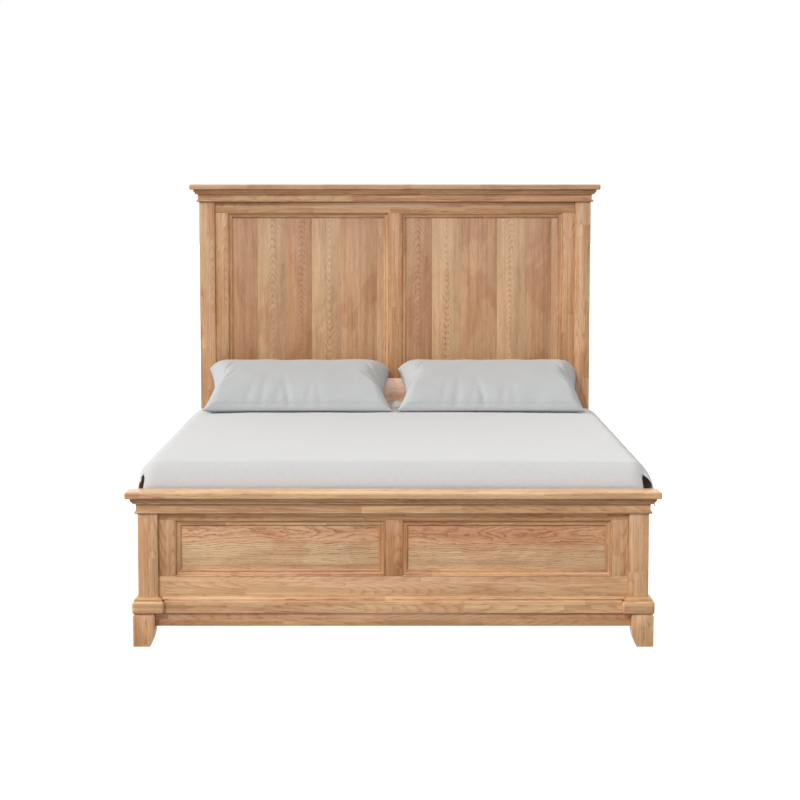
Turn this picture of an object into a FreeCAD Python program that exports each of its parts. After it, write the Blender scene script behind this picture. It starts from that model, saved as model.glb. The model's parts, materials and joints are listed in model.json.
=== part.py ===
import FreeCAD
import Part
import math
import os

# Queen-size panel bed in light oak, dressed with a mattress, a coverlet and two pillows.
# Millimetres. +Z is up, +X is the right-hand side seen from the foot, -Y is the foot end.
# The origin is on the floor, under the middle of the bed's outline.

V = FreeCAD.Vector

# ---- driving dimensions -------------------------------------------------------------------

# the two boards
HALF_WIDTH = 840.0             # centre line to the outer face of a post
POST_W = 66.0                  # post, across the bed
POST_D = 66.0                  # post, along the bed
INNER_LENGTH = 2083.0          # clear length between the footboard and the headboard
HEADBOARD_HEIGHT = 1531.0
FOOTBOARD_HEIGHT = 515.0

# frame-and-panel work, the same on both boards
RAIL_T = 30.0                  # thickness of rails, stiles and mullions
RECESS = 12.0                  # from the posts' front plane back to the rails' faces
STILE_W = 55.0
MULLION_W = 54.0
PANEL_T = 12.0
PANEL_SET_BACK = 10.0          # from the rails' faces back to the panels' faces
GROOVE_DEPTH = 8.0             # how far a panel runs into its grooves
HEAD_TOP_RAIL_W = 47.0
HEAD_PANEL_BOTTOM = 698.0      # height of the headboard's bottom rail's upper edge
HEAD_BOTTOM_RAIL_W = 190.0
HEAD_LOWER_RAIL_Z = 250.0      # lower edge of the low cross rail
HEAD_LOWER_RAIL_W = 120.0
FOOT_TOP_RAIL_W = 22.0
FOOT_PANEL_BOTTOM = 231.0      # height of the footboard's bottom rail's upper edge

# cap and crown moulding, the same on both boards
CAP_T = 22.0
CAP_OVERHANG = 38.0
CAP_BACK_OVERHANG = 0.0
CAP_EDGE_R = 5.0
BEAD_H = 9.0
BEAD_OVERHANG = 10.0
FRIEZE_H = 23.0
FRIEZE_OVERHANG = 4.0
COVE_R = 4.0
FILLET_H = 6.0
FILLET_STEP = 1.0              # from the end of the cove out to the fillet's face
OVOLO_H = 14.0
OVOLO_OVERHANG = 22.0
OVOLO_R = 10.0

# moulding round each panel
MOULD_W = 22.0
MOULD_LIP_W = 4.5
MOULD_LIP_H = 3.0              # how far the lip stands proud of the rails' faces
MOULD_COVE_W = 9.5
MOULD_BEAD_W = 5.0
MOULD_COVE_DEPTH = 6.0         # from the rails' faces down to the foot of the cove
MOULD_EDGE_DEPTH = 7.5         # from the rails' faces down to the flat inner edge

# headboard panels are glued up from planks: their widths from the left, in proportion,
# which are millimetres at the panel's own width
PLANKS_LEFT = (135.0, 123.0, 111.0, 126.0, 155.0, 58.0)
PLANKS_RIGHT = (141.0, 125.0, 156.0, 123.0, 110.5, 52.5)

# foot, plinth, base moulding and apron of the footboard
FOOT_H = 108.0
FOOT_W = 72.0
FOOT_OVERHANG = 17.0
FOOT_CURVE_H = 63.0            # height of the curved inner sides
FOOT_CURVE_IN = 16.5           # how far they draw in at the floor
FOOT_TOP_CHAMFER = 5.0
PLINTH_H = 43.0
PLINTH_OVERHANG = 20.0
PLINTH_EDGE_R = 8.0
PLINTH_CAP_H = 14.0
PLINTH_CAP_OVERHANG = 13.0
PLINTH_CAP_FLAT = 5.0          # upright part of the plinth cap's edge
PLINTH_QUIRK = 1.5             # groove between the plinth and its cap
BASE_FACE = 12.0               # how far the base moulding stands out from the rail
BASE_CAP_FACE = 7.0
BASE_EDGE_R = 4.0
APRON_BOTTOM = 64.0

# side rails, cleats, slats and the centre support
SIDE_RAIL_T = 28.0
SIDE_RAIL_INSET = 4.0          # from the posts' outer faces in to the rails' outer faces
SIDE_RAIL_Z = 230.0
SIDE_RAIL_H = 180.0
CLEAT_W = 28.0
CLEAT_H = 28.0
CLEAT_RISE = 20.0              # from the rail's lower edge up to the cleat
CLEAT_END_GAP = 30.0
SLAT_COUNT = 13
SLAT_W = 70.0
SLAT_T = 18.0
SLAT_END_GAP = 2.0             # between a slat's end and the rail
SLAT_FIRST = 75.0              # from a board to the nearest slat's centre line
BEAM_W = 45.0
BEAM_H = 70.0
BEAM_END_GAP = 3.0             # between the beam's end and its hanger's back plate
LEG_W = 50.0
LEG_CHAMFER = 3.0
LEG_SPREAD = 700.0             # between neighbouring centre legs
HANGER_T = 3.0
HANGER_LIP = 35.0              # how far a hanger reaches under the beam

# levelling glides in the centre legs
GLIDE_R = 20.0
GLIDE_H = 6.0
GLIDE_COLLAR_R = 8.0
GLIDE_COLLAR_H = 7.0
GLIDE_STUD_R = 4.0
GLIDE_STUD_L = 38.0
GLIDE_GAP = 0.3                # between the collar and the leg
INSERT_R = 6.0
INSERT_L = 25.0
THREAD_CLEARANCE = 0.05
GLIDE_POCKET_L = 55.0          # depth of the hole above the glide

# hook-on rail fittings
PLATE_T = 3.0
PLATE_W = 20.0
PLATE_H = 130.0
HOOK_T = 3.0
HOOK_REACH = 12.0              # past the plate, into the post
HOOK_H = 24.0
HOOK_DROP = 8.0                # length of the hook's nose below its neck
HOOK_NECK = 5.0
HOOK_SPREAD = 70.0
SLOT_CLEARANCE = 1.0
SCREW_R = 2.2
SCREW_HEAD_R = 4.0
SCREW_HEAD_H = 2.4
PLATE_SCREW_L = 22.0
PLATE_SCREW_SPREAD = 112.0
SLAT_SCREW_L = 36.0
LEG_STUD_R = 4.0
LEG_STUD_L = 70.0
DOWEL_R = 4.0
DOWEL_L = 50.0
DOWEL_EDGE = 12.0              # least distance from a rail's edge to a dowel's centre

# mattress
MATTRESS_SIDE_GAP = 8.0        # from a side rail's inner face to the mattress
MATTRESS_END_GAP = 26.5        # from a board's posts to the mattress
MATTRESS_H = 287.0
MATTRESS_CORNER_R = 60.0
MATTRESS_EDGE_R = 38.0
SEAT_GAP = 0.3                 # clear space under a soft piece that rests on another body

# coverlet
COVER_T = 8.0
COVER_SHOULDER_IN = 10.0       # from the mattress's side in to where the shoulder starts
COVER_SHOULDER_R = 80.0
COVER_SHOULDER_TURN = 86.0     # degrees that the shoulder turns before the straight drop
COVER_SIDE_DROP = 126.0        # from the flat top down to the side hems
COVER_FOOT_R = 45.0
COVER_FOOT_DROP = 192.0        # from the flat top down to the hem at the foot end
COVER_HEAD_GAP = 228.0         # from the headboard's posts to the coverlet's hem

# pillows
PILLOW_W = 790.0
PILLOW_D = 505.0
PILLOW_RISE = 80.0             # from the seam up to the crown
PILLOW_BELLY = 35.0            # from the seam down to the flatter underside
PILLOW_DRAW_IN = 34.0          # how far each side pulls in between the corners
PILLOW_TIERS = (               # height, spread and bow of each outline, as shares of the above
    (0.00, 1.00, 1.0),
    (0.40, 0.90, 0.6),
    (0.74, 0.75, 0.1),
    (0.92, 0.54, -0.5),
    (0.99, 0.28, -0.5),
    (1.00, 0.08, -0.2),
)
PILLOW_TILT = 16.0             # degrees, back edge up against the headboard
PILLOW_GAP = 12.0              # between the two pillows
PILLOW_HEAD_GAP = 3.0          # from the headboard's posts to the pillow's back edge

# ---- places worked out from them ----------------------------------------------------------

TOTAL_LENGTH = CAP_OVERHANG + POST_D + INNER_LENGTH + POST_D + CAP_BACK_OVERHANG
FRONT = -TOTAL_LENGTH / 2 + CAP_OVERHANG            # front plane of the footboard's posts
FOOT_BACK = FRONT + POST_D
HEAD_FRONT = FOOT_BACK + INNER_LENGTH

POST_IN = HALF_WIDTH - POST_W                       # inner face of the posts
PANEL_OUT = POST_IN - STILE_W                       # stiles' inner edges
PANEL_IN = MULLION_W / 2

CROWN_H = BEAD_H + FRIEZE_H + FILLET_H + OVOLO_H
HEAD_CROWN_Z = HEADBOARD_HEIGHT - CAP_T - CROWN_H
FOOT_CROWN_Z = FOOTBOARD_HEIGHT - CAP_T - CROWN_H
HEAD_PANEL_TOP = HEAD_CROWN_Z - HEAD_TOP_RAIL_W
FOOT_PANEL_TOP = FOOT_CROWN_Z - FOOT_TOP_RAIL_W

PLINTH_TOP = FOOT_H + PLINTH_H + PLINTH_CAP_H
RAIL_OUT = HALF_WIDTH - SIDE_RAIL_INSET
RAIL_IN = RAIL_OUT - SIDE_RAIL_T
CLEAT_Z = SIDE_RAIL_Z + CLEAT_RISE
SLAT_Z = CLEAT_Z + CLEAT_H
DECK_Z = SLAT_Z + SLAT_T
BEAM_Z = SLAT_Z - BEAM_H
LEG_Z = GLIDE_H + GLIDE_COLLAR_H + GLIDE_GAP

FITTING_Z = SIDE_RAIL_Z + SIDE_RAIL_H / 2           # middle of the rail fittings
FITTING_X = RAIL_IN + SIDE_RAIL_T / 2

BED_MIDDLE = (FOOT_BACK + HEAD_FRONT) / 2
MATTRESS_HALF = RAIL_IN - MATTRESS_SIDE_GAP
MATTRESS_Z = DECK_Z + SEAT_GAP
MATTRESS_TOP = MATTRESS_Z + MATTRESS_H
MATTRESS_FOOT = FOOT_BACK + MATTRESS_END_GAP
MATTRESS_HEAD = HEAD_FRONT - MATTRESS_END_GAP
COVER_TOP = MATTRESS_TOP + COVER_T
COVER_FLAT_HALF = MATTRESS_HALF - COVER_SHOULDER_IN
COVER_FOOT = MATTRESS_FOOT - COVER_T
COVER_HEAD = HEAD_FRONT - COVER_HEAD_GAP
PILLOW_MIDDLE = (PILLOW_W + PILLOW_GAP) / 2


# ---- small helpers ------------------------------------------------------------------------

def box(x0, x1, y0, y1, z0, z1):
    """Box between two corners."""
    return Part.makeBox(x1 - x0, y1 - y0, z1 - z0, V(x0, y0, z0))


def rod(radius, start, end):
    """Round bar between two points."""
    path = end - start
    return Part.makeCylinder(radius, path.Length, start, path)


def outline(points, to_space):
    """Closed face through 2-D points; a triple (middle, end) pair marks an arc."""
    here = points[0]
    edges = []
    for step in list(points[1:]) + [points[0]]:
        if isinstance(step[0], tuple):
            middle, end = step
            edges.append(Part.Arc(to_space(*here), to_space(*middle), to_space(*end)).toShape())
        else:
            end = step
            edges.append(Part.LineSegment(to_space(*here), to_space(*end)).toShape())
        here = end
    return Part.Face(Part.Wire(edges))


def arc_point(centre, radius, degrees):
    """Point on a circle, the angle counted from the first axis."""
    turn = math.radians(degrees)
    return (centre[0] + radius * math.cos(turn), centre[1] + radius * math.sin(turn))


def mirrored(shape):
    """The same piece on the other side of the bed."""
    return shape.mirror(V(0, 0, 0), V(1, 0, 0))


def holes(shape, cutters):
    """Cut each tool out of a piece."""
    for cutter in cutters:
        shape = shape.cut(cutter)
    return shape


def edges_where(shape, wanted):
    """Straight edges whose middle point passes a test."""
    found = []
    for edge in shape.Edges:
        middle = edge.valueAt((edge.FirstParameter + edge.LastParameter) / 2)
        if wanted(middle, edge):
            found.append(edge)
    return found


# ---- cap and crown moulding ---------------------------------------------------------------

def cap(front, top):
    """Flat cap with rounded front and side edges; its back stays square."""
    back = front + POST_D + CAP_BACK_OVERHANG
    half = HALF_WIDTH + CAP_OVERHANG
    body = box(-half, half, front - CAP_OVERHANG, back, top - CAP_T, top)
    shown = edges_where(body, lambda middle, edge: middle.y < back - 0.01)
    return body.makeFillet(CAP_EDGE_R, shown)


def crown_section():
    """Section of the crown moulding: (outward from the post, up from the bead's foot)."""
    bead_r = BEAD_H / 2
    bead_in = BEAD_OVERHANG - bead_r
    frieze_top = BEAD_H + FRIEZE_H
    cove = COVE_R * (1 - math.sqrt(0.5))
    fillet_out = FRIEZE_OVERHANG + COVE_R + FILLET_STEP
    fillet_top = frieze_top + FILLET_H
    ovolo_in = OVOLO_OVERHANG - OVOLO_R
    bend = OVOLO_R * math.sqrt(0.5)
    return [
        (0.0, 0.0),
        (bead_in, 0.0),
        ((BEAD_OVERHANG, bead_r), (bead_in, BEAD_H)),
        (FRIEZE_OVERHANG, BEAD_H),
        (FRIEZE_OVERHANG, frieze_top - COVE_R),
        ((FRIEZE_OVERHANG + cove, frieze_top - cove), (FRIEZE_OVERHANG + COVE_R, frieze_top)),
        (fillet_out, frieze_top),
        (fillet_out, fillet_top),
        (ovolo_in, fillet_top),
        ((ovolo_in + bend, fillet_top + OVOLO_R - bend), (OVOLO_OVERHANG, fillet_top + OVOLO_R)),
        (OVOLO_OVERHANG, CROWN_H),
        (0.0, CROWN_H),
    ]


def crown_stick(length, mitre_start, mitre_end):
    """One length of crown along +X with its back on y = 0, facing -Y."""
    reach = OVOLO_OVERHANG
    start = -reach if mitre_start else 0.0
    end = length + reach if mitre_end else length
    section = outline(crown_section(), lambda out, up: V(start, -out, up))
    stick = section.extrude(V(end - start, 0, 0))
    trap = [(0.0, 0.0), (length, 0.0), (end, -reach), (start, -reach)]
    plan = outline(trap, lambda x, y: V(x, y, 0)).extrude(V(0, 0, CROWN_H))
    return stick.common(plan)


def crown(front, foot_z):
    """Crown moulding round the front and both sides of a board, mitred at the corners."""
    face = crown_stick(2 * HALF_WIDTH, True, True)
    face.translate(V(-HALF_WIDTH, front, foot_z))
    side = crown_stick(POST_D, True, False)
    side.rotate(V(0, 0, 0), V(0, 0, 1), 90)
    side.translate(V(HALF_WIDTH, front, foot_z))
    return Part.makeCompound([face, side, mirrored(side)])


def frieze_rail(front, foot_z):
    """Solid rail across the posts' tops that carries the crown and the cap."""
    return box(-HALF_WIDTH, HALF_WIDTH, front, front + POST_D, foot_z, foot_z + CROWN_H)


# ---- frame-and-panel work -----------------------------------------------------------------

def board_member(front, x0, x1, z0, z1):
    """A rail, stile or mullion, set back from the posts' front plane."""
    return box(x0, x1, front + RECESS, front + RECESS + RAIL_T, z0, z1)


def panel_groove(front, z0, z1, inner, outer):
    """Space that a panel fills, grooves included, on the right-hand side."""
    face = front + RECESS + PANEL_SET_BACK
    deep = GROOVE_DEPTH
    return box(inner - deep, outer + deep, face, face + PANEL_T, z0 - deep, z1 + deep)


def planks(groove, widths):
    """A panel divided into vertical planks, edge to edge, with widths in the given proportion."""
    limits = groove.BoundBox
    share = limits.XLength / sum(widths)
    cuts = [limits.XMin]
    for width in widths:
        cuts.append(cuts[-1] + width * share)
    made = []
    for left, right in zip(cuts, cuts[1:]):
        made.append(box(left, right, limits.YMin, limits.YMax, limits.ZMin, limits.ZMax))
    return Part.makeCompound(made)


def mould_section():
    """Panel moulding: (inward from the opening's edge, outward from the rails' faces)."""
    lip = MOULD_LIP_W / 2
    cove_end = MOULD_LIP_W + MOULD_COVE_W
    bead_end = cove_end + MOULD_BEAD_W
    depth = MOULD_COVE_DEPTH
    return [
        (0.0, -PANEL_SET_BACK),
        (0.0, MOULD_LIP_H - lip * 0.8),
        ((lip, MOULD_LIP_H), (MOULD_LIP_W, MOULD_LIP_H - lip * 0.8)),
        (MOULD_LIP_W, -1.0),
        ((MOULD_LIP_W + 0.42 * MOULD_COVE_W, -0.66 * depth), (cove_end, -depth)),
        ((cove_end + MOULD_BEAD_W / 2, 0.42 * MOULD_BEAD_W - depth), (bead_end, -depth)),
        (bead_end, -MOULD_EDGE_DEPTH),
        (MOULD_W, -MOULD_EDGE_DEPTH),
        (MOULD_W, -PANEL_SET_BACK),
    ]


def mould_stick(length):
    """One side of a panel's moulding along +X, inward +Z, with both ends mitred."""
    section = outline(mould_section(), lambda inward, out: V(0, -out, inward))
    stick = section.extrude(V(length, 0, 0))
    trap = [(0.0, 0.0), (length, 0.0), (length - MOULD_W, MOULD_W), (MOULD_W, MOULD_W)]
    mask = outline(trap, lambda x, z: V(x, -PANEL_SET_BACK, z)).extrude(V(0, 2 * PANEL_SET_BACK, 0))
    return stick.common(mask)


def panel_moulding(front, inner, outer, z0, z1):
    """Four mitred lengths round a panel on the right-hand side."""
    width = outer - inner
    height = z1 - z0
    face = front + RECESS
    corners = [(inner, z0, width), (outer, z0, height), (outer, z1, width), (inner, z1, height)]
    sticks = []
    for quarter, (x, z, length) in enumerate(corners):
        stick = mould_stick(length)
        stick.rotate(V(0, 0, 0), V(0, 1, 0), -90 * quarter)
        stick.translate(V(x, face, z))
        sticks.append(stick)
    return Part.makeCompound(sticks)


# ---- foot, plinth and base moulding -------------------------------------------------------

def front_foot():
    """Right-hand foot: straight outside, drawn in by an arc on its inner and back sides."""
    outer = HALF_WIDTH + FOOT_OVERHANG
    inner = outer - FOOT_W
    radius = (FOOT_CURVE_H ** 2 + FOOT_CURVE_IN ** 2) / (2 * FOOT_CURVE_IN)
    turn = math.degrees(math.asin(FOOT_CURVE_H / radius))
    middle = radius * (1 - math.cos(math.radians(turn / 2)))
    middle_z = FOOT_CURVE_H - radius * math.sin(math.radians(turn / 2))
    side = [
        (0.0, FOOT_H),
        (0.0, FOOT_CURVE_H),
        ((middle, middle_z), (FOOT_CURVE_IN, 0.0)),
        (FOOT_W, 0.0),
        (FOOT_W, FOOT_H),
    ]
    near = FRONT - FOOT_OVERHANG
    far = near + FOOT_W
    across = outline(side, lambda u, z: V(inner + u, near, z)).extrude(V(0, FOOT_W, 0))
    along = outline(side, lambda u, z: V(inner, far - u, z)).extrude(V(FOOT_W, 0, 0))
    body = across.common(along)
    top = edges_where(body, lambda middle, edge: middle.z > FOOT_H - 0.01)
    return body.makeChamfer(FOOT_TOP_CHAMFER, top)


def plinth_block(overhang, z0, z1):
    """Right-hand block standing out round the post; behind the rails' faces it stays clear."""
    x0, x1 = POST_IN - overhang, HALF_WIDTH + overhang
    near = FRONT - overhang
    return box(x0, x1, near, FOOT_BACK, z0, z1)


def plinth():
    """Right-hand plinth under the post: a rounded block with a sloped cap above a quirk."""
    block_top = FOOT_H + PLINTH_H
    block = plinth_block(PLINTH_OVERHANG, FOOT_H, block_top)
    shown = edges_where(block, lambda middle, edge: middle.y < FOOT_BACK - 0.01)
    block = block.makeFillet(PLINTH_EDGE_R, shown)
    quirk = PLINTH_CAP_OVERHANG - PLINTH_QUIRK
    neck = plinth_block(quirk, block_top - PLINTH_EDGE_R, block_top + PLINTH_QUIRK)
    cap_z = block_top + PLINTH_QUIRK
    flat = plinth_block(PLINTH_CAP_OVERHANG, cap_z, cap_z + PLINTH_CAP_FLAT)
    slope_z = cap_z + PLINTH_CAP_FLAT
    rings = [plinth_ring(PLINTH_CAP_OVERHANG, slope_z), plinth_ring(0.0, PLINTH_TOP)]
    slope = Part.makeLoft(rings, True, True)
    body = block.fuse([neck, flat, slope]).removeSplitter()
    behind = box(0, POST_IN, FRONT + RECESS, FOOT_BACK, FOOT_H, PLINTH_TOP)
    return body.cut(behind)


def plinth_ring(overhang, z):
    """Rectangle round the post at one height, flush with the post's back."""
    x0, x1 = POST_IN - overhang, HALF_WIDTH + overhang
    near = FRONT - overhang
    corners = [V(x0, near, z), V(x1, near, z), V(x1, FOOT_BACK, z), V(x0, FOOT_BACK, z)]
    return Part.makePolygon(corners + corners[:1])


def base_moulding():
    """Moulding along the footboard's bottom rail, between the plinths, with a sloped cap."""
    rail_face = FRONT + RECESS
    block_top = FOOT_H + PLINTH_H
    cap_z = block_top + PLINTH_QUIRK
    bend = BASE_EDGE_R * (1 - math.sqrt(0.5))
    lower = [
        (0.0, FOOT_H),
        (BASE_FACE - BASE_EDGE_R, FOOT_H),
        ((BASE_FACE - bend, FOOT_H + bend), (BASE_FACE, FOOT_H + BASE_EDGE_R)),
        (BASE_FACE, block_top - BASE_EDGE_R),
        ((BASE_FACE - bend, block_top - bend), (BASE_FACE - BASE_EDGE_R, block_top)),
        (0.0, block_top),
    ]
    upper = [
        (0.0, block_top),
        (BASE_CAP_FACE - PLINTH_QUIRK, block_top),
        (BASE_CAP_FACE - PLINTH_QUIRK, cap_z),
        (BASE_CAP_FACE, cap_z),
        (BASE_CAP_FACE, cap_z + PLINTH_CAP_FLAT),
        (PLINTH_QUIRK, PLINTH_TOP),
        (0.0, PLINTH_TOP),
    ]
    made = []
    for section, half in ((lower, POST_IN - PLINTH_OVERHANG), (upper, POST_IN - PLINTH_CAP_OVERHANG)):
        face = outline(section, lambda out, z, half=half: V(-half, rail_face - out, z))
        made.append(face.extrude(V(2 * half, 0, 0)))
    return made[0].fuse(made[1]).removeSplitter()


# ---- rail fittings ------------------------------------------------------------------------

def corner_places():
    """The four rail-to-post joints: side, the post's face and the way into the post."""
    return [(side, face, way) for side in (-1, 1) for face, way in ((FOOT_BACK, -1), (HEAD_FRONT, 1))]


def upright_strip(side, face, way, depth0, depth1, width, height):
    """Upright bar at a rail joint, from depth0 to depth1 into the post (negative: in the rail)."""
    x = side * FITTING_X
    y0, y1 = sorted((face + way * depth0, face + way * depth1))
    return box(x - width / 2, x + width / 2, y0, y1, FITTING_Z - height / 2, FITTING_Z + height / 2)


def hook(side, face, way, z, grow=0.0):
    """One hook of a rail plate: a neck through the post plate, then a nose that hangs down."""
    x = side * FITTING_X
    half = HOOK_T / 2 + grow
    y0, y1 = sorted((face, face + way * (HOOK_REACH + grow)))
    neck = box(x - half, x + half, y0, y1, z - grow, z + HOOK_H / 2 + grow)
    n0, n1 = sorted((face + way * (HOOK_NECK - grow), face + way * (HOOK_REACH + grow)))
    nose = box(x - half, x + half, n0, n1, z - HOOK_DROP - grow, z + grow)
    return neck.fuse(nose).removeSplitter()


def hook_heights():
    """Heights of the two hooks on each plate."""
    return (FITTING_Z - HOOK_SPREAD / 2, FITTING_Z + HOOK_SPREAD / 2)


def hook_plates():
    """Four steel plates let into the rails' ends, each with two hooks."""
    made = []
    for side, face, way in corner_places():
        plate = upright_strip(side, face, way, -PLATE_T, 0.0, PLATE_W, PLATE_H)
        for z in hook_heights():
            plate = plate.fuse(hook(side, face, way, z))
        made.append(plate.removeSplitter())
    return made


def post_plates():
    """Four slotted steel plates let into the posts, behind the rails' ends."""
    made = []
    for side, face, way in corner_places():
        plate = upright_strip(side, face, way, 0.0, PLATE_T, PLATE_W, PLATE_H)
        made.append(holes(plate, hook_slots(side, face, way)))
    return made


def hook_slots(side, face, way):
    """Slots that the hooks drop into: as wide as a hook, tall enough to lift it out."""
    x = side * FITTING_X
    half = HOOK_T / 2 + SLOT_CLEARANCE
    y0, y1 = sorted((face, face + way * (HOOK_REACH + SLOT_CLEARANCE)))
    top = HOOK_H / 2 + HOOK_DROP + SLOT_CLEARANCE
    return [box(x - half, x + half, y0, y1, z, z + top) for z in hook_heights()]


def nose_pockets(side, face, way):
    """Room in the post below each slot for the hook's nose."""
    return [hook(side, face, way, z, SLOT_CLEARANCE) for z in hook_heights()]


def screw(tip, head, head_r=SCREW_HEAD_R):
    """Countersunk screw from its flat head to its tip."""
    way = (tip - head).normalize()
    cone = Part.makeCone(head_r, SCREW_R, SCREW_HEAD_H, head, way)
    return cone.fuse(rod(SCREW_R, head + way * (SCREW_HEAD_H / 2), tip)).removeSplitter()


def plate_screws():
    """Screws through the rail plates and the post plates, flush with the plates."""
    made = []
    for side, face, way in corner_places():
        for z in (FITTING_Z - PLATE_SCREW_SPREAD / 2, FITTING_Z + PLATE_SCREW_SPREAD / 2):
            x = side * FITTING_X
            for inward in (way, -way):
                made.append(screw(V(x, face + inward * PLATE_SCREW_L, z), V(x, face, z)))
    return made


# ---- rails, slats and the centre support --------------------------------------------------

def side_rail():
    """Right-hand side rail between the boards."""
    return box(RAIL_IN, RAIL_OUT, FOOT_BACK, HEAD_FRONT, SIDE_RAIL_Z, SIDE_RAIL_Z + SIDE_RAIL_H)


def slat_cleat():
    """Right-hand cleat that carries the slats' ends."""
    y0, y1 = FOOT_BACK + CLEAT_END_GAP, HEAD_FRONT - CLEAT_END_GAP
    return box(RAIL_IN - CLEAT_W, RAIL_IN, y0, y1, CLEAT_Z, CLEAT_Z + CLEAT_H)


def slat_centres():
    """Places of the slats along the bed, evenly spaced."""
    first, last = FOOT_BACK + SLAT_FIRST, HEAD_FRONT - SLAT_FIRST
    return [first + (last - first) * i / (SLAT_COUNT - 1) for i in range(SLAT_COUNT)]


def slats():
    """Cross slats lying on the cleats and the centre beam."""
    half = RAIL_IN - SLAT_END_GAP
    return [box(-half, half, y - SLAT_W / 2, y + SLAT_W / 2, SLAT_Z, DECK_Z) for y in slat_centres()]


def slat_screws():
    """A countersunk screw at each end of each slat, down into the cleat."""
    made = []
    for side in (-1, 1):
        x = side * (RAIL_IN - CLEAT_W / 2)
        for y in slat_centres():
            made.append(screw(V(x, y, DECK_Z - SLAT_SCREW_L), V(x, y, DECK_Z)))
    return made


def beam_ends():
    """Faces of the two boards that the centre beam runs between."""
    return FRONT + RECESS + RAIL_T, HEAD_FRONT + RECESS


def centre_beam():
    """Beam under the middle of the slats."""
    near, far = beam_ends()
    gap = HANGER_T + BEAM_END_GAP
    return box(-BEAM_W / 2, BEAM_W / 2, near + gap, far - gap, BEAM_Z, SLAT_Z)


def beam_hangers():
    """Steel angle at each end of the beam: a back plate on the board and a lip under the beam."""
    near, far = beam_ends()
    made = []
    for face, way in ((near, 1), (far, -1)):
        y0, y1 = sorted((face, face + way * HANGER_T))
        back = box(-BEAM_W / 2, BEAM_W / 2, y0, y1, BEAM_Z - HANGER_T, SLAT_Z)
        y0, y1 = sorted((face, face + way * HANGER_LIP))
        lip = box(-BEAM_W / 2, BEAM_W / 2, y0, y1, BEAM_Z - HANGER_T, BEAM_Z)
        made.append(back.fuse(lip).removeSplitter())
    return made


def leg_places():
    """Places of the centre legs along the bed."""
    return [BED_MIDDLE + i * LEG_SPREAD for i in (-1, 0, 1)]


def centre_leg(y):
    """Square leg under the beam, its lower edges chamfered."""
    half = LEG_W / 2
    leg = box(-half, half, y - half, y + half, LEG_Z, BEAM_Z)
    low = edges_where(leg, lambda middle, edge: middle.z < LEG_Z + 0.01)
    return leg.makeChamfer(LEG_CHAMFER, low)


def leg_stud(y):
    """Hanger stud that joins a leg to the beam."""
    return rod(LEG_STUD_R, V(0, y, BEAM_Z - LEG_STUD_L / 2), V(0, y, BEAM_Z + LEG_STUD_L / 2))


def glide_pocket(y):
    """Hole in a leg's end for the glide's threaded insert and stud."""
    wide = rod(INSERT_R, V(0, y, LEG_Z), V(0, y, LEG_Z + INSERT_L))
    deep = rod(GLIDE_STUD_R + 1, V(0, y, LEG_Z), V(0, y, LEG_Z + GLIDE_POCKET_L))
    return wide.fuse(deep)


def glide_insert(y):
    """Threaded sleeve pressed into a leg's end."""
    sleeve = rod(INSERT_R, V(0, y, LEG_Z), V(0, y, LEG_Z + INSERT_L))
    bore = rod(GLIDE_STUD_R + THREAD_CLEARANCE, V(0, y, LEG_Z - 1), V(0, y, LEG_Z + INSERT_L + 1))
    return sleeve.cut(bore)


def glide(y):
    """Levelling glide: a round pad, a collar and a stud in the leg."""
    pad = rod(GLIDE_R, V(0, y, 0), V(0, y, GLIDE_H))
    rim = edges_where(pad, lambda middle, edge: middle.z > GLIDE_H - 0.01)
    pad = pad.makeChamfer(GLIDE_H / 3, rim)
    top = GLIDE_H + GLIDE_COLLAR_H
    collar = rod(GLIDE_COLLAR_R, V(0, y, GLIDE_H - 1), V(0, y, top))
    stud = rod(GLIDE_STUD_R, V(0, y, top - 1), V(0, y, top + GLIDE_STUD_L))
    return pad.fuse([collar, stud]).removeSplitter()


def dowel_row(x, y, z0, z1):
    """Dowels across a rail's end: one in a narrow rail, else one near each edge."""
    middle = (z0 + z1) / 2
    spread = (z1 - z0) / 2 - DOWEL_EDGE
    heights = [middle] if spread < DOWEL_EDGE else [middle - spread, middle + spread]
    return [rod(DOWEL_R, V(x - DOWEL_L / 2, y, z), V(x + DOWEL_L / 2, y, z)) for z in heights]


# ---- bedding ------------------------------------------------------------------------------

def mattress():
    """Mattress with round corners and soft top and bottom edges."""
    half = MATTRESS_HALF
    body = box(-half, half, MATTRESS_FOOT, MATTRESS_HEAD, MATTRESS_Z, MATTRESS_TOP)
    upright = edges_where(body, lambda middle, edge: MATTRESS_Z + 1 < middle.z < MATTRESS_TOP - 1)
    body = body.makeFillet(MATTRESS_CORNER_R, upright)
    rims = edges_where(body, lambda middle, edge: not MATTRESS_Z + 1 < middle.z < MATTRESS_TOP - 1)
    return body.makeFillet(MATTRESS_EDGE_R, rims)


def shoulder_points(radius):
    """Middle and end of a shoulder arc about the right-hand shoulder's centre, and the hem."""
    centre = (COVER_FLAT_HALF, COVER_TOP - COVER_SHOULDER_R)
    middle = arc_point(centre, radius, 90 - COVER_SHOULDER_TURN / 2)
    end = arc_point(centre, radius, 90 - COVER_SHOULDER_TURN)
    slope = math.tan(math.radians(90 - COVER_SHOULDER_TURN))
    drop = COVER_SIDE_DROP - COVER_TOP + end[1]
    hem = (end[0] + slope * drop, end[1] - drop)
    return middle, end, hem


def cover_side(near, far):
    """Right-hand shoulder and side drop between two places along the bed."""
    outer = shoulder_points(COVER_SHOULDER_R)
    inner = shoulder_points(COVER_SHOULDER_R - COVER_T)
    section = [
        (COVER_FLAT_HALF, COVER_TOP),
        (outer[0], outer[1]),
        outer[2],
        inner[2],
        inner[1],
        (inner[0], (COVER_FLAT_HALF, MATTRESS_TOP)),
    ]
    return outline(section, lambda x, z: V(x, near, z)).extrude(V(0, far - near, 0))


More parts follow.
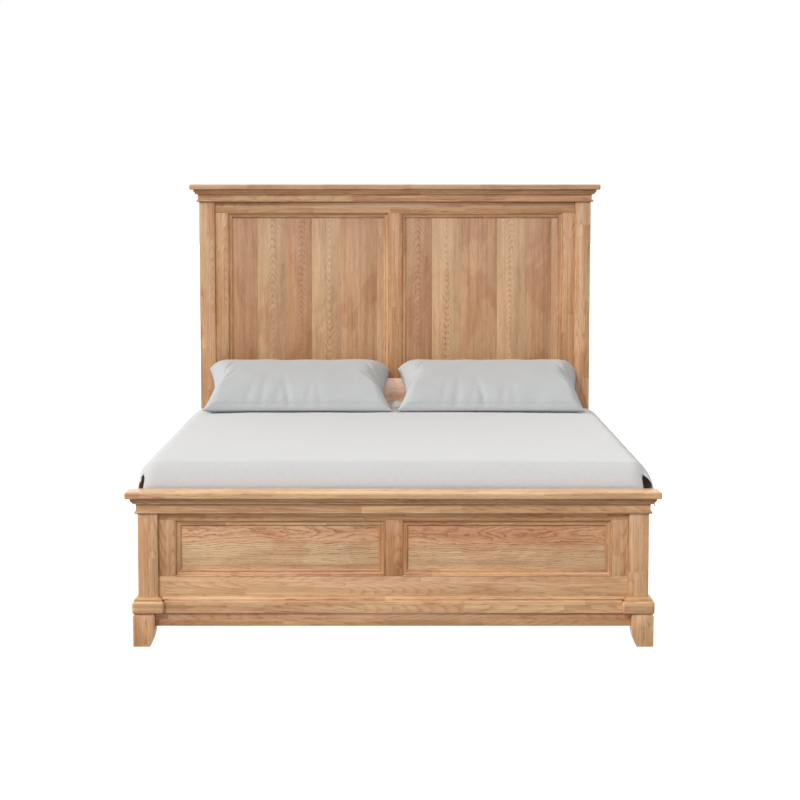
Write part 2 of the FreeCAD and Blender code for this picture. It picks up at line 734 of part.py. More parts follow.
def cover_foot():
    """Shoulder and drop at the foot end, between the mattress and the footboard."""
    centre = (COVER_FOOT + COVER_FOOT_R, COVER_TOP - COVER_FOOT_R)
    inner_r = COVER_FOOT_R - COVER_T
    hem_z = COVER_TOP - COVER_FOOT_DROP
    section = [
        (centre[0], COVER_TOP),
        (arc_point(centre, COVER_FOOT_R, 135), (COVER_FOOT, centre[1])),
        (COVER_FOOT, hem_z),
        (MATTRESS_FOOT, hem_z),
        (MATTRESS_FOOT, centre[1]),
        (arc_point(centre, inner_r, 135), (centre[0], MATTRESS_TOP)),
    ]
    face = outline(section, lambda y, z: V(-COVER_FLAT_HALF, y, z))
    return face.extrude(V(2 * COVER_FLAT_HALF, 0, 0))


def coverlet():
    """Coverlet over the mattress: flat top, two flared side drops and a foot drop, split corners."""
    top_start = COVER_FOOT + COVER_FOOT_R
    flat = box(-COVER_FLAT_HALF, COVER_FLAT_HALF, top_start, COVER_HEAD, MATTRESS_TOP, COVER_TOP)
    side = cover_side(COVER_FOOT, COVER_HEAD)
    body = flat.fuse([side, mirrored(side), cover_foot()]).removeSplitter()
    return body.cut(mattress())


def pillow_outline(half_w, half_d, bow, height):
    """Four-sided outline at one height; bow pulls the sides in (negative: pushes them out)."""
    a, b = half_w, half_d
    bow_d = bow * half_d / half_w
    points = [
        (-a, -b),
        ((0.0, -b + bow_d), (a, -b)),
        ((a - bow, 0.0), (a, b)),
        ((0.0, b - bow_d), (-a, b)),
        ((-a + bow, 0.0), (-a, -b)),
    ]
    here = points[0]
    edges = []
    for middle, end in points[1:]:
        edges.append(Part.Arc(V(*here, height), V(*middle, height), V(*end, height)).toShape())
        here = end
    return Part.Wire(edges)


def pillow_half(rise):
    """One half of a pillow from the seam up, or down if the rise is negative; sides drawn in."""
    rings = []
    for height, spread, bow in PILLOW_TIERS:
        half_w, half_d = spread * PILLOW_W / 2, spread * PILLOW_D / 2
        rings.append(pillow_outline(half_w, half_d, bow * PILLOW_DRAW_IN, rise * height))
    return Part.makeLoft(rings, True, False)


def pillow():
    """Right-hand pillow: a crowned half and a flatter one on one seam, leaning back."""
    body = pillow_half(PILLOW_RISE).fuse(pillow_half(-PILLOW_BELLY))
    body.rotate(V(0, 0, 0), V(1, 0, 0), PILLOW_TILT)
    limits = body.optimalBoundingBox(False, False)
    back = HEAD_FRONT - PILLOW_HEAD_GAP
    body.translate(V(PILLOW_MIDDLE, back - limits.YMax, COVER_TOP + SEAT_GAP - limits.ZMin))
    return body


# ---- assembly -----------------------------------------------------------------------------

def headboard(pieces, dowels):
    """Posts, rails, planked panels, mouldings and cap of the headboard."""
    front = HEAD_FRONT
    right = panel_groove(front, HEAD_PANEL_BOTTOM, HEAD_PANEL_TOP, PANEL_IN, PANEL_OUT)
    left = mirrored(right)
    grooves = [left, right]
    rails = {
        "headboard_top_rail": (HEAD_PANEL_TOP, HEAD_CROWN_Z),
        "headboard_bottom_rail": (HEAD_PANEL_BOTTOM - HEAD_BOTTOM_RAIL_W, HEAD_PANEL_BOTTOM),
        "headboard_lower_rail": (HEAD_LOWER_RAIL_Z, HEAD_LOWER_RAIL_Z + HEAD_LOWER_RAIL_W),
    }
    here = []
    for name, (z0, z1) in rails.items():
        row = dowel_row(POST_IN, front + RECESS + RAIL_T / 2, z0, z1)
        here += row + [mirrored(dowel) for dowel in row]
        pieces[name] = board_member(front, -POST_IN, POST_IN, z0, z1)
    for name in rails:
        pieces[name] = holes(pieces[name], grooves + here)
    stile = holes(board_member(front, PANEL_OUT, POST_IN, HEAD_PANEL_BOTTOM, HEAD_PANEL_TOP), grooves)
    mullion = board_member(front, -PANEL_IN, PANEL_IN, HEAD_PANEL_BOTTOM, HEAD_PANEL_TOP)
    post = box(POST_IN, HALF_WIDTH, front, front + POST_D, 0, HEAD_CROWN_Z)
    mould = panel_moulding(front, PANEL_IN, PANEL_OUT, HEAD_PANEL_BOTTOM, HEAD_PANEL_TOP)
    pieces["headboard_stile_right"] = stile
    pieces["headboard_stile_left"] = mirrored(stile)
    pieces["headboard_mullion"] = holes(mullion, grooves)
    pieces["headboard_post_right"] = holes(post, here)
    pieces["headboard_post_left"] = holes(mirrored(post), here)
    pieces["headboard_panel_left"] = planks(left, PLANKS_LEFT)
    pieces["headboard_panel_right"] = planks(right, PLANKS_RIGHT)
    pieces["headboard_panel_moulding_right"] = mould
    pieces["headboard_panel_moulding_left"] = mirrored(mould)
    pieces["headboard_frieze_rail"] = frieze_rail(front, HEAD_CROWN_Z)
    pieces["headboard_crown_moulding"] = crown(front, HEAD_CROWN_Z)
    pieces["headboard_cap"] = cap(front, HEADBOARD_HEIGHT)
    dowels += here


def footboard(pieces, dowels):
    """Posts, rails, panels, mouldings, plinths, feet and cap of the footboard."""
    front = FRONT
    right = panel_groove(front, FOOT_PANEL_BOTTOM, FOOT_PANEL_TOP, PANEL_IN, PANEL_OUT)
    grooves = [mirrored(right), right]
    rails = {
        "footboard_top_rail": (FOOT_PANEL_TOP, FOOT_CROWN_Z),
        "footboard_bottom_rail": (FOOT_H, FOOT_PANEL_BOTTOM),
    }
    here = []
    for name, (z0, z1) in rails.items():
        row = dowel_row(POST_IN, front + RECESS + RAIL_T / 2, max(z0, PLINTH_TOP), z1)
        here += row + [mirrored(dowel) for dowel in row]
        pieces[name] = board_member(front, -POST_IN, POST_IN, z0, z1)
    for name in rails:
        pieces[name] = holes(pieces[name], grooves + here)
    stile = holes(board_member(front, PANEL_OUT, POST_IN, FOOT_PANEL_BOTTOM, FOOT_PANEL_TOP), grooves)
    mullion = board_member(front, -PANEL_IN, PANEL_IN, FOOT_PANEL_BOTTOM, FOOT_PANEL_TOP)
    post = box(POST_IN, HALF_WIDTH, front, front + POST_D, PLINTH_TOP, FOOT_CROWN_Z)
    mould = panel_moulding(front, PANEL_IN, PANEL_OUT, FOOT_PANEL_BOTTOM, FOOT_PANEL_TOP)
    foot = front_foot()
    block = plinth()
    apron_end = HALF_WIDTH + FOOT_OVERHANG - FOOT_W
    pieces["footboard_stile_right"] = stile
    pieces["footboard_stile_left"] = mirrored(stile)
    pieces["footboard_mullion"] = holes(mullion, grooves)
    pieces["footboard_post_right"] = holes(post, here)
    pieces["footboard_post_left"] = holes(mirrored(post), here)
    pieces["footboard_panel_left"] = mirrored(right)
    pieces["footboard_panel_right"] = right
    pieces["footboard_panel_moulding_right"] = mould
    pieces["footboard_panel_moulding_left"] = mirrored(mould)
    pieces["footboard_frieze_rail"] = frieze_rail(front, FOOT_CROWN_Z)
    pieces["footboard_crown_moulding"] = crown(front, FOOT_CROWN_Z)
    pieces["footboard_cap"] = cap(front, FOOTBOARD_HEIGHT)
    pieces["footboard_apron"] = board_member(front, -apron_end, apron_end, APRON_BOTTOM, FOOT_H)
    pieces["footboard_base_moulding"] = base_moulding()
    pieces["plinth_right"] = block
    pieces["plinth_left"] = mirrored(block)
    pieces["foot_right"] = foot
    pieces["foot_left"] = mirrored(foot)
    dowels += here


def rails_and_fittings(pieces):
    """Side rails, cleats and the hook-on fittings that join the rails to the posts."""
    screws = plate_screws()
    hooks = hook_plates()
    plates = post_plates()
    rail = side_rail()
    pockets = []
    for place in corner_places():
        pockets += hook_slots(*place) + nose_pockets(*place)
    for name, shape in (("side_rail_right", rail), ("side_rail_left", mirrored(rail))):
        pieces[name] = holes(shape, hooks + screws)
    for board in ("headboard", "footboard"):
        for side in ("left", "right"):
            name = board + "_post_" + side
            pieces[name] = holes(pieces[name], plates + pockets + screws)
    pieces["rail_hook_plates"] = Part.makeCompound([holes(plate, screws) for plate in hooks])
    pieces["post_slot_plates"] = Part.makeCompound([holes(plate, screws) for plate in plates])
    pieces["plate_screws"] = Part.makeCompound(screws)


def deck(pieces):
    """Cleats, slats, centre beam with its hangers, legs and levelling glides."""
    screws = slat_screws()
    studs = [leg_stud(y) for y in leg_places()]
    cleat = slat_cleat()
    pieces["slat_cleat_right"] = holes(cleat, screws)
    pieces["slat_cleat_left"] = holes(mirrored(cleat), screws)
    pieces["slats"] = Part.makeCompound([holes(slat, screws) for slat in slats()])
    pieces["slat_screws"] = Part.makeCompound(screws)
    pieces["centre_beam"] = holes(centre_beam(), studs)
    pieces["beam_hangers"] = Part.makeCompound(beam_hangers())
    pieces["leg_studs"] = Part.makeCompound(studs)
    for name, y in zip(("front", "middle", "rear"), leg_places()):
        pieces["centre_leg_" + name] = holes(centre_leg(y), studs + [glide_pocket(y)])
        pieces["levelling_glide_" + name] = glide(y)
    pieces["glide_inserts"] = Part.makeCompound([glide_insert(y) for y in leg_places()])


def bedding(pieces):
    """Mattress, coverlet and pillows."""
    pieces["mattress"] = mattress()
    pieces["coverlet"] = coverlet()
    pieces["pillow_right"] = pillow()
    pieces["pillow_left"] = mirrored(pieces["pillow_right"])


def build():
    """Make every piece and write one file per node."""
    pieces = {}
    dowels = []
    headboard(pieces, dowels)
    footboard(pieces, dowels)
    rails_and_fittings(pieces)
    deck(pieces)
    bedding(pieces)
    pieces["rail_dowels"] = Part.makeCompound(dowels)
    os.makedirs("parts", exist_ok=True)
    for name, shape in sorted(pieces.items()):
        shape.exportStep("parts/" + name + ".step")
        solids = len(shape.Solids)
        print(f"{name:34s} solids {solids:3d}  valid {shape.isValid()}  {shape.Volume / 1e6:9.3f} l")
    print(len(pieces), "nodes")


build()
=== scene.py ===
"""Panel bed in light oak with a mattress, a coverlet and two pillows: the finish round the fixed frame.

Metres, +Z up, the foot of the bed towards -Y, the headboard towards +Y, the floor at z = 0.
"""

import json
import math

import bmesh
import bpy
import numpy as np
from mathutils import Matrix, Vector


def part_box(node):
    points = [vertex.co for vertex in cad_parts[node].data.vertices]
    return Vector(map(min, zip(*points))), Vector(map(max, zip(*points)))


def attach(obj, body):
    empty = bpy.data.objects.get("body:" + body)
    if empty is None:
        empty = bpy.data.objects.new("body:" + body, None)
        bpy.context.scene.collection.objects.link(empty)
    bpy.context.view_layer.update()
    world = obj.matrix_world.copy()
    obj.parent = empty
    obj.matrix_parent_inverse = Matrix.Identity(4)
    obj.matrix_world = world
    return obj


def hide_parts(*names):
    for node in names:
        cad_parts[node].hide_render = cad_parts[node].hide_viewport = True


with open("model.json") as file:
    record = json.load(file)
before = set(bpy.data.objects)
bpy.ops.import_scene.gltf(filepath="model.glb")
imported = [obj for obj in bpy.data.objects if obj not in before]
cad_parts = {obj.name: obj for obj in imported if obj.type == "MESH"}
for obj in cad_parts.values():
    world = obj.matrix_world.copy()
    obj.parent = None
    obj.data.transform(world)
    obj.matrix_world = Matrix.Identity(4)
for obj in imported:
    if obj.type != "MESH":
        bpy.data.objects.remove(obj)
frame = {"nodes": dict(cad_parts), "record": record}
NODES = frame["nodes"]
SLOT_OF = {row["node"]: row["material_slot"] for row in frame["record"]["subparts"]}
BODY_OF = {name: body for body, names in frame["record"]["behaviour"]["bodies"].items() for name in names}
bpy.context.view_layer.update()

# ---- camera ------------------
CAMERA_AT = (0.022, -7.6535, 1.465)
CAMERA_DOWN = 5.649  # degrees below level, looking along +Y
CAMERA_LENS = 90.99  # millimetres on a 36 mm sensor

# ---- joinery -----------------
EASING = 0.0010  # how far sanding rounds a sharp edge
PANEL_EASING = 0.0003
LONG_EDGE = 0.006  # an edge shorter than this isn't sanded
SHARP = math.radians(40)
FLAT = math.radians(0.6)
CREASE = math.radians(30)
WELD, SEAM_WELD = 0.00002, 0.00005  # how near points of one solid, and of one cloth, are joined
SOLID_STEP = 4.0  # solids of one node are parted by this while they are welded
BATCH_LEVEL = {"headboard": 0.925, "footboard": 1.050}  # the two boards are of different batches of oak
CROWN_REACH = 0.022  # the crown's reach past the posts' faces
FILLET_FOOT, FILLET_TOP = 0.032, 0.038  # the crown's fillet, up from the bead's foot
FILLET_RISE = 0.0025
FILLET_FROM, FILLET_OUT = 0.009, 0.016  # how far out the fillet is in the solid, and here
STAVE_W = 0.043  # a frame member is glued up from staves this wide
STAVE_L = 0.330  # and about this long
STAVE_FROM = (3.0, 0.07, 0.0)  # how far along and across the timber a stave may come from
STAVE_PITH = (0.035, 0.060)  # its pith is this deep under its face, and up to this much deeper
STAVE_ASIDE = 0.030  # and up to this far to either side
PITH_DRIFT = 0.09  # how fast the pith may near a stave's face along it
PITH_DEPTH = 0.050  # how far under a wide board's face its pith is
PITH_CORE = (0.005, 0.070)  # the wood is redder this near the pith, and no longer so this far off
LATE_PORES = 0.4  # how open the pores of late wood are: those of early wood are at 1
PORE_SHADE = 0.42  # how much an open pore darkens the wood
STAVE_RED, STAVE_PALE = 0.30, 0.10  # how much one stave may be redder and paler than the next
PATCH_RED, PATCH_PALE = -0.26, 0.08  # and one patch than the next
USUAL_BOARD = ((-0.03, 0.03), (0.0, 0.25), (-0.03, 0.03), (-0.08, 0.08))  # the spans of BOARDS' four numbers

# ---- bedding -----------------
mattress_low, mattress_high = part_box("mattress")
cover_low, cover_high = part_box("coverlet")
MATTRESS_CORNER = 0.060
MATTRESS_EDGE = 0.072
MATTRESS_HALF_X = (mattress_high.x - mattress_low.x) / 2
MATTRESS_HALF_Y = (mattress_high.y - mattress_low.y) / 2
MATTRESS_MIDDLE_Y = (mattress_high.y + mattress_low.y) / 2
QUILT_PITCH = 0.11  # how far apart the quilting's lines are, along the bed
QUILT_RISE, QUILT_SINK = 0.003, 0.001
PUFF_RISE, PUFF_HALF = 0.026, 0.060  # the puff between the pillows: how high, and half how wide
PUFF_FROM, PUFF_RUN = 0.74, 0.22  # where it begins, and how far on it is at its highest
TUFT_PITCH, TUFT_DEPTH = 0.20, 0.003  # the pull of the border's ties
TAPE_R = 0.0045
BORDER_EDGE = 0.75  # where the border's tapes are, as a share of the rounded edge's height
COVER_TOP = cover_high.z
COVER_FLAT_X = 0.790  # half the level width, where the side shoulder starts
SHOULDER_R = 0.080
SHOULDER_TURN = math.radians(86)
COVER_FOOT_R = 0.075  # how far before the foot the cover leaves the top
COVER_SPLIT_X = 0.833  # half the width of the drop over the foot
COVER_SPLIT_START = 0.044  # how far past the foot's crease the split starts
COVER_SPLIT_OPENS = 0.026  # and how much further on it is wholly open
COVER_FRONT_TUCK = (0.0225, 0.0060)  # how far the left and right sides' front edges turn in
COVER_TUCK_FROM = -0.80  # the sides turn in from here to the foot
COVER_SPLIT_LEAN = 0.006  # how far the drop's edge leans in at the top of the split
COVER_LEAN_FROM, COVER_LEAN_RUN = 0.028, 0.062  # how far down the lean begins to fade, and how fast
COVER_LEAN_REACH = 0.10  # how far from the split the drop leans
COVER_HELD = 0.06  # how far from the split the sides are held down
COVER_SLIDE, COVER_SLIDE_REACH = 1.1, 0.16  # how much the sides slide out, and how far from the split
COVER_SIDE_HEM = 0.4653  # how high the side hems hang
FOOT_SQUARENESS = 1.55  # 1 is a flat bevel and 2 a quarter circle
COVER_THICK = 0.0035
COVER_CROWN = 0.007
COVER_CROWN_X, COVER_CROWN_Y = 0.84, 0.87  # where the crown comes down to the sides and to the head
COVER_FADE, COVER_FOOT_FADE = 0.05, 0.10  # how far on, up or down the crown has gone, and from the foot
COVER_SINK_FADE = 0.06  # how far the cloth is turned down at the foot where the crown has gone
TOP_WAVES = ((0.0009, 3, 0.55), (0.0003, 4, 0.12))  # height, seed and length of the top's shallow waves
SIDE_WAVES = (0.0022, 11, 0.42)  # and of the side drops'
FOOT_WAVES = (0.0020, 12, 0.50)  # and of the foot drop's
PILLOW_TILT = math.radians(16)
PILLOW_RISES = (0.077, 0.048)  # how far the case stands up and down from its seam
PILLOW_DRAW = 0.035  # how far an end draws in between its corners
PILLOW_FRONT_RIDGE = 0.83  # where the ridge is at the front, as a share of the half width
PILLOW_END = 0.35  # where the ends begin to draw in, as a share of the half width
PILLOW_LIFT = 0.012  # how high its front seam is
PILLOW_SINK = 0.020  # what is lower than this is flattened
PILLOW_HEM = 0.016  # how far the stitched line is from the front edge
HEM_W, HEM_DEPTH = 0.0032, 0.0030
FOLD_W, CREASE_W, FOLD_DEPTH = 0.019, 0.022, 0.0035
FOLD_AT = 0.88  # how far towards the front the folds are deepest
CASE_WAVES = (0.0011, 0.30)  # height and length of the case's unevenness
SETTLE_FRAMES = 14  # how long a pillowcase is simulated
SETTLE_REACH = 0.006  # how far a point of it may move


# ---- helpers -----------------
def linear(hex_colour):
    """sRGB hex as linear RGBA: each channel c becomes ((c + 0.055) / 1.055) to the power 2.4."""
    channels = [int(hex_colour[i:i + 2], 16) / 255 for i in (0, 2, 4)]
    return [((c + 0.055) / 1.055) ** 2.4 if c > 0.04045 else c / 12.92 for c in channels] + [1.0]


def unit(values):
    """The values, held between 0 and 1."""
    return np.clip(values, 0, 1)


def eased(values):
    """A soft step: with x held between 0 and 1, x^2 * (3 - 2 * x)."""
    held = unit(values)
    return held ** 2 * (3 - 2 * held)


def grid_of(*parts):
    """A grid with three values a point, from arrays that may be one row, one column or a whole grid."""
    return np.stack(np.broadcast_arrays(*parts), -1)


def read(items, field, width=3, kind=np.float32):
    """One row of numbers for each vertex, corner or face."""
    values = np.empty(len(items) * width, dtype=kind)
    items.foreach_get(field, values)
    return values.reshape(-1, width)


def add(material, kind, inputs=(), **settings):
    """Adds a shader node of a kind, or of a kind and an operation, sets its settings and fills its inputs.

    The inputs are a list, in the node's order, or a dict by name or place. Each is a number, a socket, or
    a node, which stands for its first output.
    """
    tree = material.node_tree
    made = tree.nodes.new("ShaderNode" + kind.split()[0])
    for name, value in settings.items():
        setattr(made, name, value)
    if " " in kind:
        made.operation = kind.split()[1]
    for key, value in inputs.items() if isinstance(inputs, dict) else enumerate(inputs):
        if isinstance(value, bpy.types.Node):
            value = value.outputs[0]
        if isinstance(value, bpy.types.NodeSocket):
            tree.links.new(value, made.inputs[key])
        else:
            made.inputs[key].default_value = value
    return made


def new_material(name, roughness, metallic=0.0, **sockets):
    """A material with its Principled shader, whose constants are set on the shader's own sockets."""
    material = bpy.data.materials.new(name)
    material.use_nodes = True
    shader = material.node_tree.nodes["Principled BSDF"]
    shader.inputs["Roughness"].default_value = roughness
    shader.inputs["Metallic"].default_value = metallic
    for socket, value in sockets.items():
        shader.inputs[socket.replace("_", " ")].default_value = value
    return material, shader


def plug(material, output, shader, socket):
    """Links an output to a socket of the shader."""
    material.node_tree.links.new(output, shader.inputs[socket])


def put_attribute(mesh, name, kind, values):
    """Stores one value a vertex in the mesh."""
    layer = mesh.attributes.new(name, kind, "POINT")
    layer.data.foreach_set("vector" if kind == "FLOAT_VECTOR" else "value", np.ravel(values))


def place(name, mesh, material, body, slot, *replaced):
    """Puts a finished mesh in the scene as a piece: it rides on a body and stands for CAD nodes."""
    piece = bpy.data.objects.new(name, mesh)
    bpy.context.scene.collection.objects.link(piece)
    mesh.materials.clear()
    mesh.materials.append(material)
    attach(piece, body)
    if replaced:
        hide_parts(*replaced)
    return piece


# ---- woods -------------------
def wood_material(name, pale, dark, red, staves, ring, bend, contrast, streaks, heart, roughness):
    """Flat-sawn timber that reads three attributes of the piece.

    The numbers are how far apart its rings are, how far noise bends them, how dark a ring's early wood
    and its broad streaks are, how red it is by the pith, and how rough the surface is.
    "grain" holds metres along, across and through the board. "tone" holds how pale, how red and how
    shifted the solid is. "pith" holds where its pith is: across, under the face, and its drift along.
    Growth rings are the distance from the pith: sqrt(across^2 + (depth + drift * along)^2), bent by
    noise and cut into rings, so a face shows cathedrals. Staves are cells of the board, each with its
    own tone, pith and piece of grain.
    """
    wood, shader = new_material(name, roughness, Specular_IOR_Level=0.5)
    grain = add(wood, "Attribute", attribute_name="grain")
    tone = add(wood, "Attribute", attribute_name="tone")
    pith = add(wood, "Attribute", attribute_name="pith")
    tones = add(wood, "SeparateXYZ", [tone.outputs["Vector"]])
    piths = add(wood, "SeparateXYZ", [pith.outputs["Vector"]])
    along, across, through = add(wood, "SeparateXYZ", [grain.outputs["Vector"]]).outputs
    if staves:
        rows = add(wood, "Math MULTIPLY", [across, 1 / STAVE_W])
        row = add(wood, "Math FLOOR", [rows])
        row_seed = add(wood, "CombineXYZ", [row, tones.outputs[2]])
        row_chance = add(wood, "TexWhiteNoise", {"Vector": row_seed})
        columns = add(wood, "Math MULTIPLY_ADD", [along, 1 / STAVE_L, row_chance])
        column = add(wood, "Math FLOOR", [columns])
        cell = add(wood, "CombineXYZ", [row, column, tones.outputs[2]])
    else:
        cell = add(wood, "CombineXYZ", {2: tones.outputs[2]})
    chance = add(wood, "TexWhiteNoise", {"Vector": cell})
    chances = add(wood, "SeparateXYZ", [chance.outputs["Color"]])
    moved = add(wood, "VectorMath MULTIPLY_ADD",
                [chance.outputs["Color"], STAVE_FROM, grain.outputs["Vector"]])
    if staves:
        drift = add(wood, "MapRange",
                    {"Value": chances.outputs[0], "To Min": -PITH_DRIFT, "To Max": PITH_DRIFT})
        depth = add(wood, "Math MULTIPLY_ADD", [chances.outputs[1], STAVE_PITH[1], STAVE_PITH[0]])
        side = add(wood, "Math MULTIPLY_ADD", [row, STAVE_W, STAVE_W / 2 + STAVE_ASIDE])
        shift = add(wood, "Math MULTIPLY_ADD", [chances.outputs[2], -2 * STAVE_ASIDE, side])
    else:
        shift, depth, drift = piths.outputs

    # growth rings, bent a little by noise, round a pith that lies under the face
    wander_at = add(wood, "VectorMath MULTIPLY", [moved, (3.4, 13.0, 13.0)])
    wander = add(wood, "TexNoise", {"Vector": wander_at, "Scale": 1.0, "Detail": 5.0, "Roughness": 0.62})
    rise = add(wood, "Math MULTIPLY_ADD", [along, drift, through])
    under = add(wood, "Math ADD", [rise, depth])
    aside = add(wood, "Math SUBTRACT", [across, shift])
    distance = add(wood, "VectorMath LENGTH", [add(wood, "CombineXYZ", [aside, under])])
    bent = add(wood, "Math MULTIPLY_ADD", [wander, bend, distance.outputs["Value"]])
    count = add(wood, "Math MULTIPLY", [bent, 1 / ring])
    within = add(wood, "Math FRACT", [count])
    early = add(wood, "MapRange",
                {"Value": within, "From Max": 0.6, "To Min": 1.0, "To Max": 0.0},
                interpolation_type="SMOOTHSTEP")

    # pores, 0.2 mm wide in the real wood, are drawn 2 mm wide so that they show, and are open in early wood
    pores_at = add(wood, "VectorMath MULTIPLY", [moved, (26.0, 420.0, 420.0)])
    pores = add(wood, "TexNoise", {"Vector": pores_at, "Scale": 1.0, "Detail": 1.0, "Roughness": 0.5})
    pore = add(wood, "MapRange", {"Value": pores, "From Min": 0.52, "From Max": 0.68})
    open_share = add(wood, "Math MULTIPLY_ADD", [early, 1 - LATE_PORES, LATE_PORES])
    open_pore = add(wood, "Math MULTIPLY", [pore, open_share])
    broad_at = add(wood, "VectorMath MULTIPLY", [moved, (1.8, 60.0, 60.0)])
    broad = add(wood, "TexNoise", {"Vector": broad_at, "Scale": 1.0, "Detail": 5.0, "Roughness": 0.7})
    streak = add(wood, "MapRange",
                 {"Value": broad, "From Min": 0.36, "From Max": 0.64, "To Min": streaks, "To Max": 0.0})
    lines = add(wood, "Math MULTIPLY_ADD", [early, contrast, streak])
    figure = add(wood, "Math MULTIPLY_ADD", [open_pore, PORE_SHADE, lines])
    base = add(wood, "Mix", {0: figure, 6: linear(pale), 7: linear(dark)}, data_type="RGBA")

    # wood from near the bark is redder or paler in patches a hand long, and wood near the pith is redder
    patch_at = add(wood, "VectorMath MULTIPLY", [moved, (3.0, 6.0, 6.0)])
    patches = add(wood, "TexNoise",
                  {"Vector": patch_at, "Scale": 1.0, "Detail": 3.0, "Roughness": 0.55, "Distortion": 0.8})
    patch = add(wood, "MapRange",
                {"Value": patches, "From Min": 0.45, "From Max": 0.55, "To Min": -0.5, "To Max": 0.5},
                interpolation_type="SMOOTHSTEP")
    aside_now = add(wood, "Math ABSOLUTE", [aside])
    near_pith = add(wood, "MapRange",
                    {"Value": aside_now, "From Min": PITH_CORE[0], "From Max": PITH_CORE[1], "To Min": heart,
                     "To Max": 0.0},
                    interpolation_type="SMOOTHSTEP")
    stave_red = add(wood, "Math MULTIPLY_ADD",
                    [chances.outputs[2], STAVE_RED if staves else 0.0, tones.outputs[1]])
    patch_red = add(wood, "Math MULTIPLY_ADD", [patch, PATCH_RED, stave_red])
    redness = add(wood, "Math ADD", [near_pith, patch_red])
    reddened = add(wood, "Mix", {0: redness, 6: base.outputs[2], 7: linear(red)}, data_type="RGBA",
                   blend_type="MULTIPLY")
    stave_level = add(wood, "Math MULTIPLY_ADD",
                      [chances.outputs[0], STAVE_PALE if staves else 0.0, tones.outputs[0]])
    level = add(wood, "Math MULTIPLY_ADD", [patch, PATCH_PALE, stave_level])
    shade = add(wood, "CombineXYZ", [level, level, level])
    final = add(wood, "Mix", {0: 1.0, 6: reddened.outputs[2], 7: shade}, data_type="RGBA",
                blend_type="MULTIPLY")
    plug(wood, final.outputs[2], shader, "Base Color")
    bump = add(wood, "Bump", {"Strength": 0.12, "Distance": 0.0005, "Height": broad})
    plug(wood, bump.outputs[0], shader, "Normal")
    return wood


# White oak, planed and sanded, then clear matt lacquer: warm tan staves
OAK_FRAME = wood_material("oak_staves_matt_lacquer", "E8C093", "A8784F", "F0C6AC", True,
                          0.0036, 0.009, 0.28, 0.62, 0.0, 0.36)
# The same oak as wide sawn planks: cathedral figure down each plank
OAK_PLANK = wood_material("oak_planks_matt_lacquer", "DEB68D", "976B48", "F0C2A8", False,
                          0.0030, 0.014, 0.34, 0.42, 0.0, 0.44)
# One wide flat-sawn board: a wild reddish figure round its pith and quiet grain away from it
OAK_WIDE = wood_material("oak_wide_boards_matt_lacquer", "EFCCA2", "A0693F", "EEB090", False,
                         0.0046, 0.036, 0.46, 0.42, 0.50, 0.44)
# Planed softwood, unfinished: pale straw with broad rings
PINE = wood_material("pine_planed_bare", "EBD1A2", "C79E66", "F0D8C0", False,
                     0.0060, 0.008, 0.38, 0.42, 0.0, 0.62)


def part_solids(mesh):
    """Moves each solid of a node's mesh SOLID_STEP further along X than the one before, and counts them.

    Triangles come solid by solid, and inside a solid each edge is walked twice. An edge opens at its odd
    walks and closes at its even ones, so a solid ends where the running count of open edges is zero.
    """
    count = len(mesh.vertices)
    points = read(mesh.vertices, "co")
    corners = read(mesh.loops, "vertex_index", 1, np.int64).reshape(-1)
    same_place = np.unique(np.round(points, 5), axis=0, return_inverse=True)[1].reshape(-1)
    tails = same_place[corners]
    heads = np.roll(tails.reshape(-1, 3), -1, axis=1).reshape(-1)
    edge = np.minimum(tails, heads) * count + np.maximum(tails, heads)
    walks = np.argsort(edge, kind="stable")
    starts = np.flatnonzero(np.r_[True, np.diff(edge[walks]) != 0])
    rank = np.arange(len(edge)) - np.repeat(starts, np.diff(np.r_[starts, len(edge)]))
    change = np.empty(len(edge), dtype=int)
    change[walks] = np.where(rank % 2 == 0, 1, -1)
    change[tails == heads] = 0
    open_edges = np.cumsum(change.reshape(-1, 3).sum(axis=1))
    solid = np.r_[0, np.cumsum(open_edges[:-1] == 0)]
    shift = np.zeros(count, dtype=np.float32)
    shift[corners] = np.repeat(solid, 3) * SOLID_STEP
    points[:, 0] += shift
    mesh.vertices.foreach_set("co", points.reshape(-1))
    return solid.max() + 1


def sanded(name, easing):
    """A copy of a CAD node's mesh, welded solid by solid, with its long sharp edges rounded."""
    mesh = NODES[name].data.copy()
    solids = part_solids(mesh)
    form = bmesh.new()
    form.from_mesh(mesh)
    bmesh.ops.remove_doubles(form, verts=form.verts, dist=WELD)
    bmesh.ops.dissolve_limit(form, angle_limit=FLAT, verts=form.verts, edges=form.edges)
    if name.endswith("crown_moulding"):
        form.to_mesh(mesh)
        bring_out_fillet(mesh, name)
        form.clear()
        form.from_mesh(mesh)
    if easing:
        sharp = [edge for edge in form.edges if len(edge.link_faces) == 2
                 and edge.calc_face_angle() > SHARP and edge.calc_length() > LONG_EDGE]
        bmesh.ops.bevel(form, geom=sharp, offset=easing, offset_type="OFFSET", segments=2, profile=0.5,
                        affect="EDGES", clamp_overlap=False)
    bmesh.ops.triangulate(form, faces=[face for face in form.faces if len(face.verts) > 4])
    form.to_mesh(mesh)
    form.free()
    mesh.polygons.foreach_set("use_smooth", np.ones(len(mesh.polygons), dtype=bool))
    mesh.set_sharp_from_angle(angle=CREASE)
    return mesh, solids


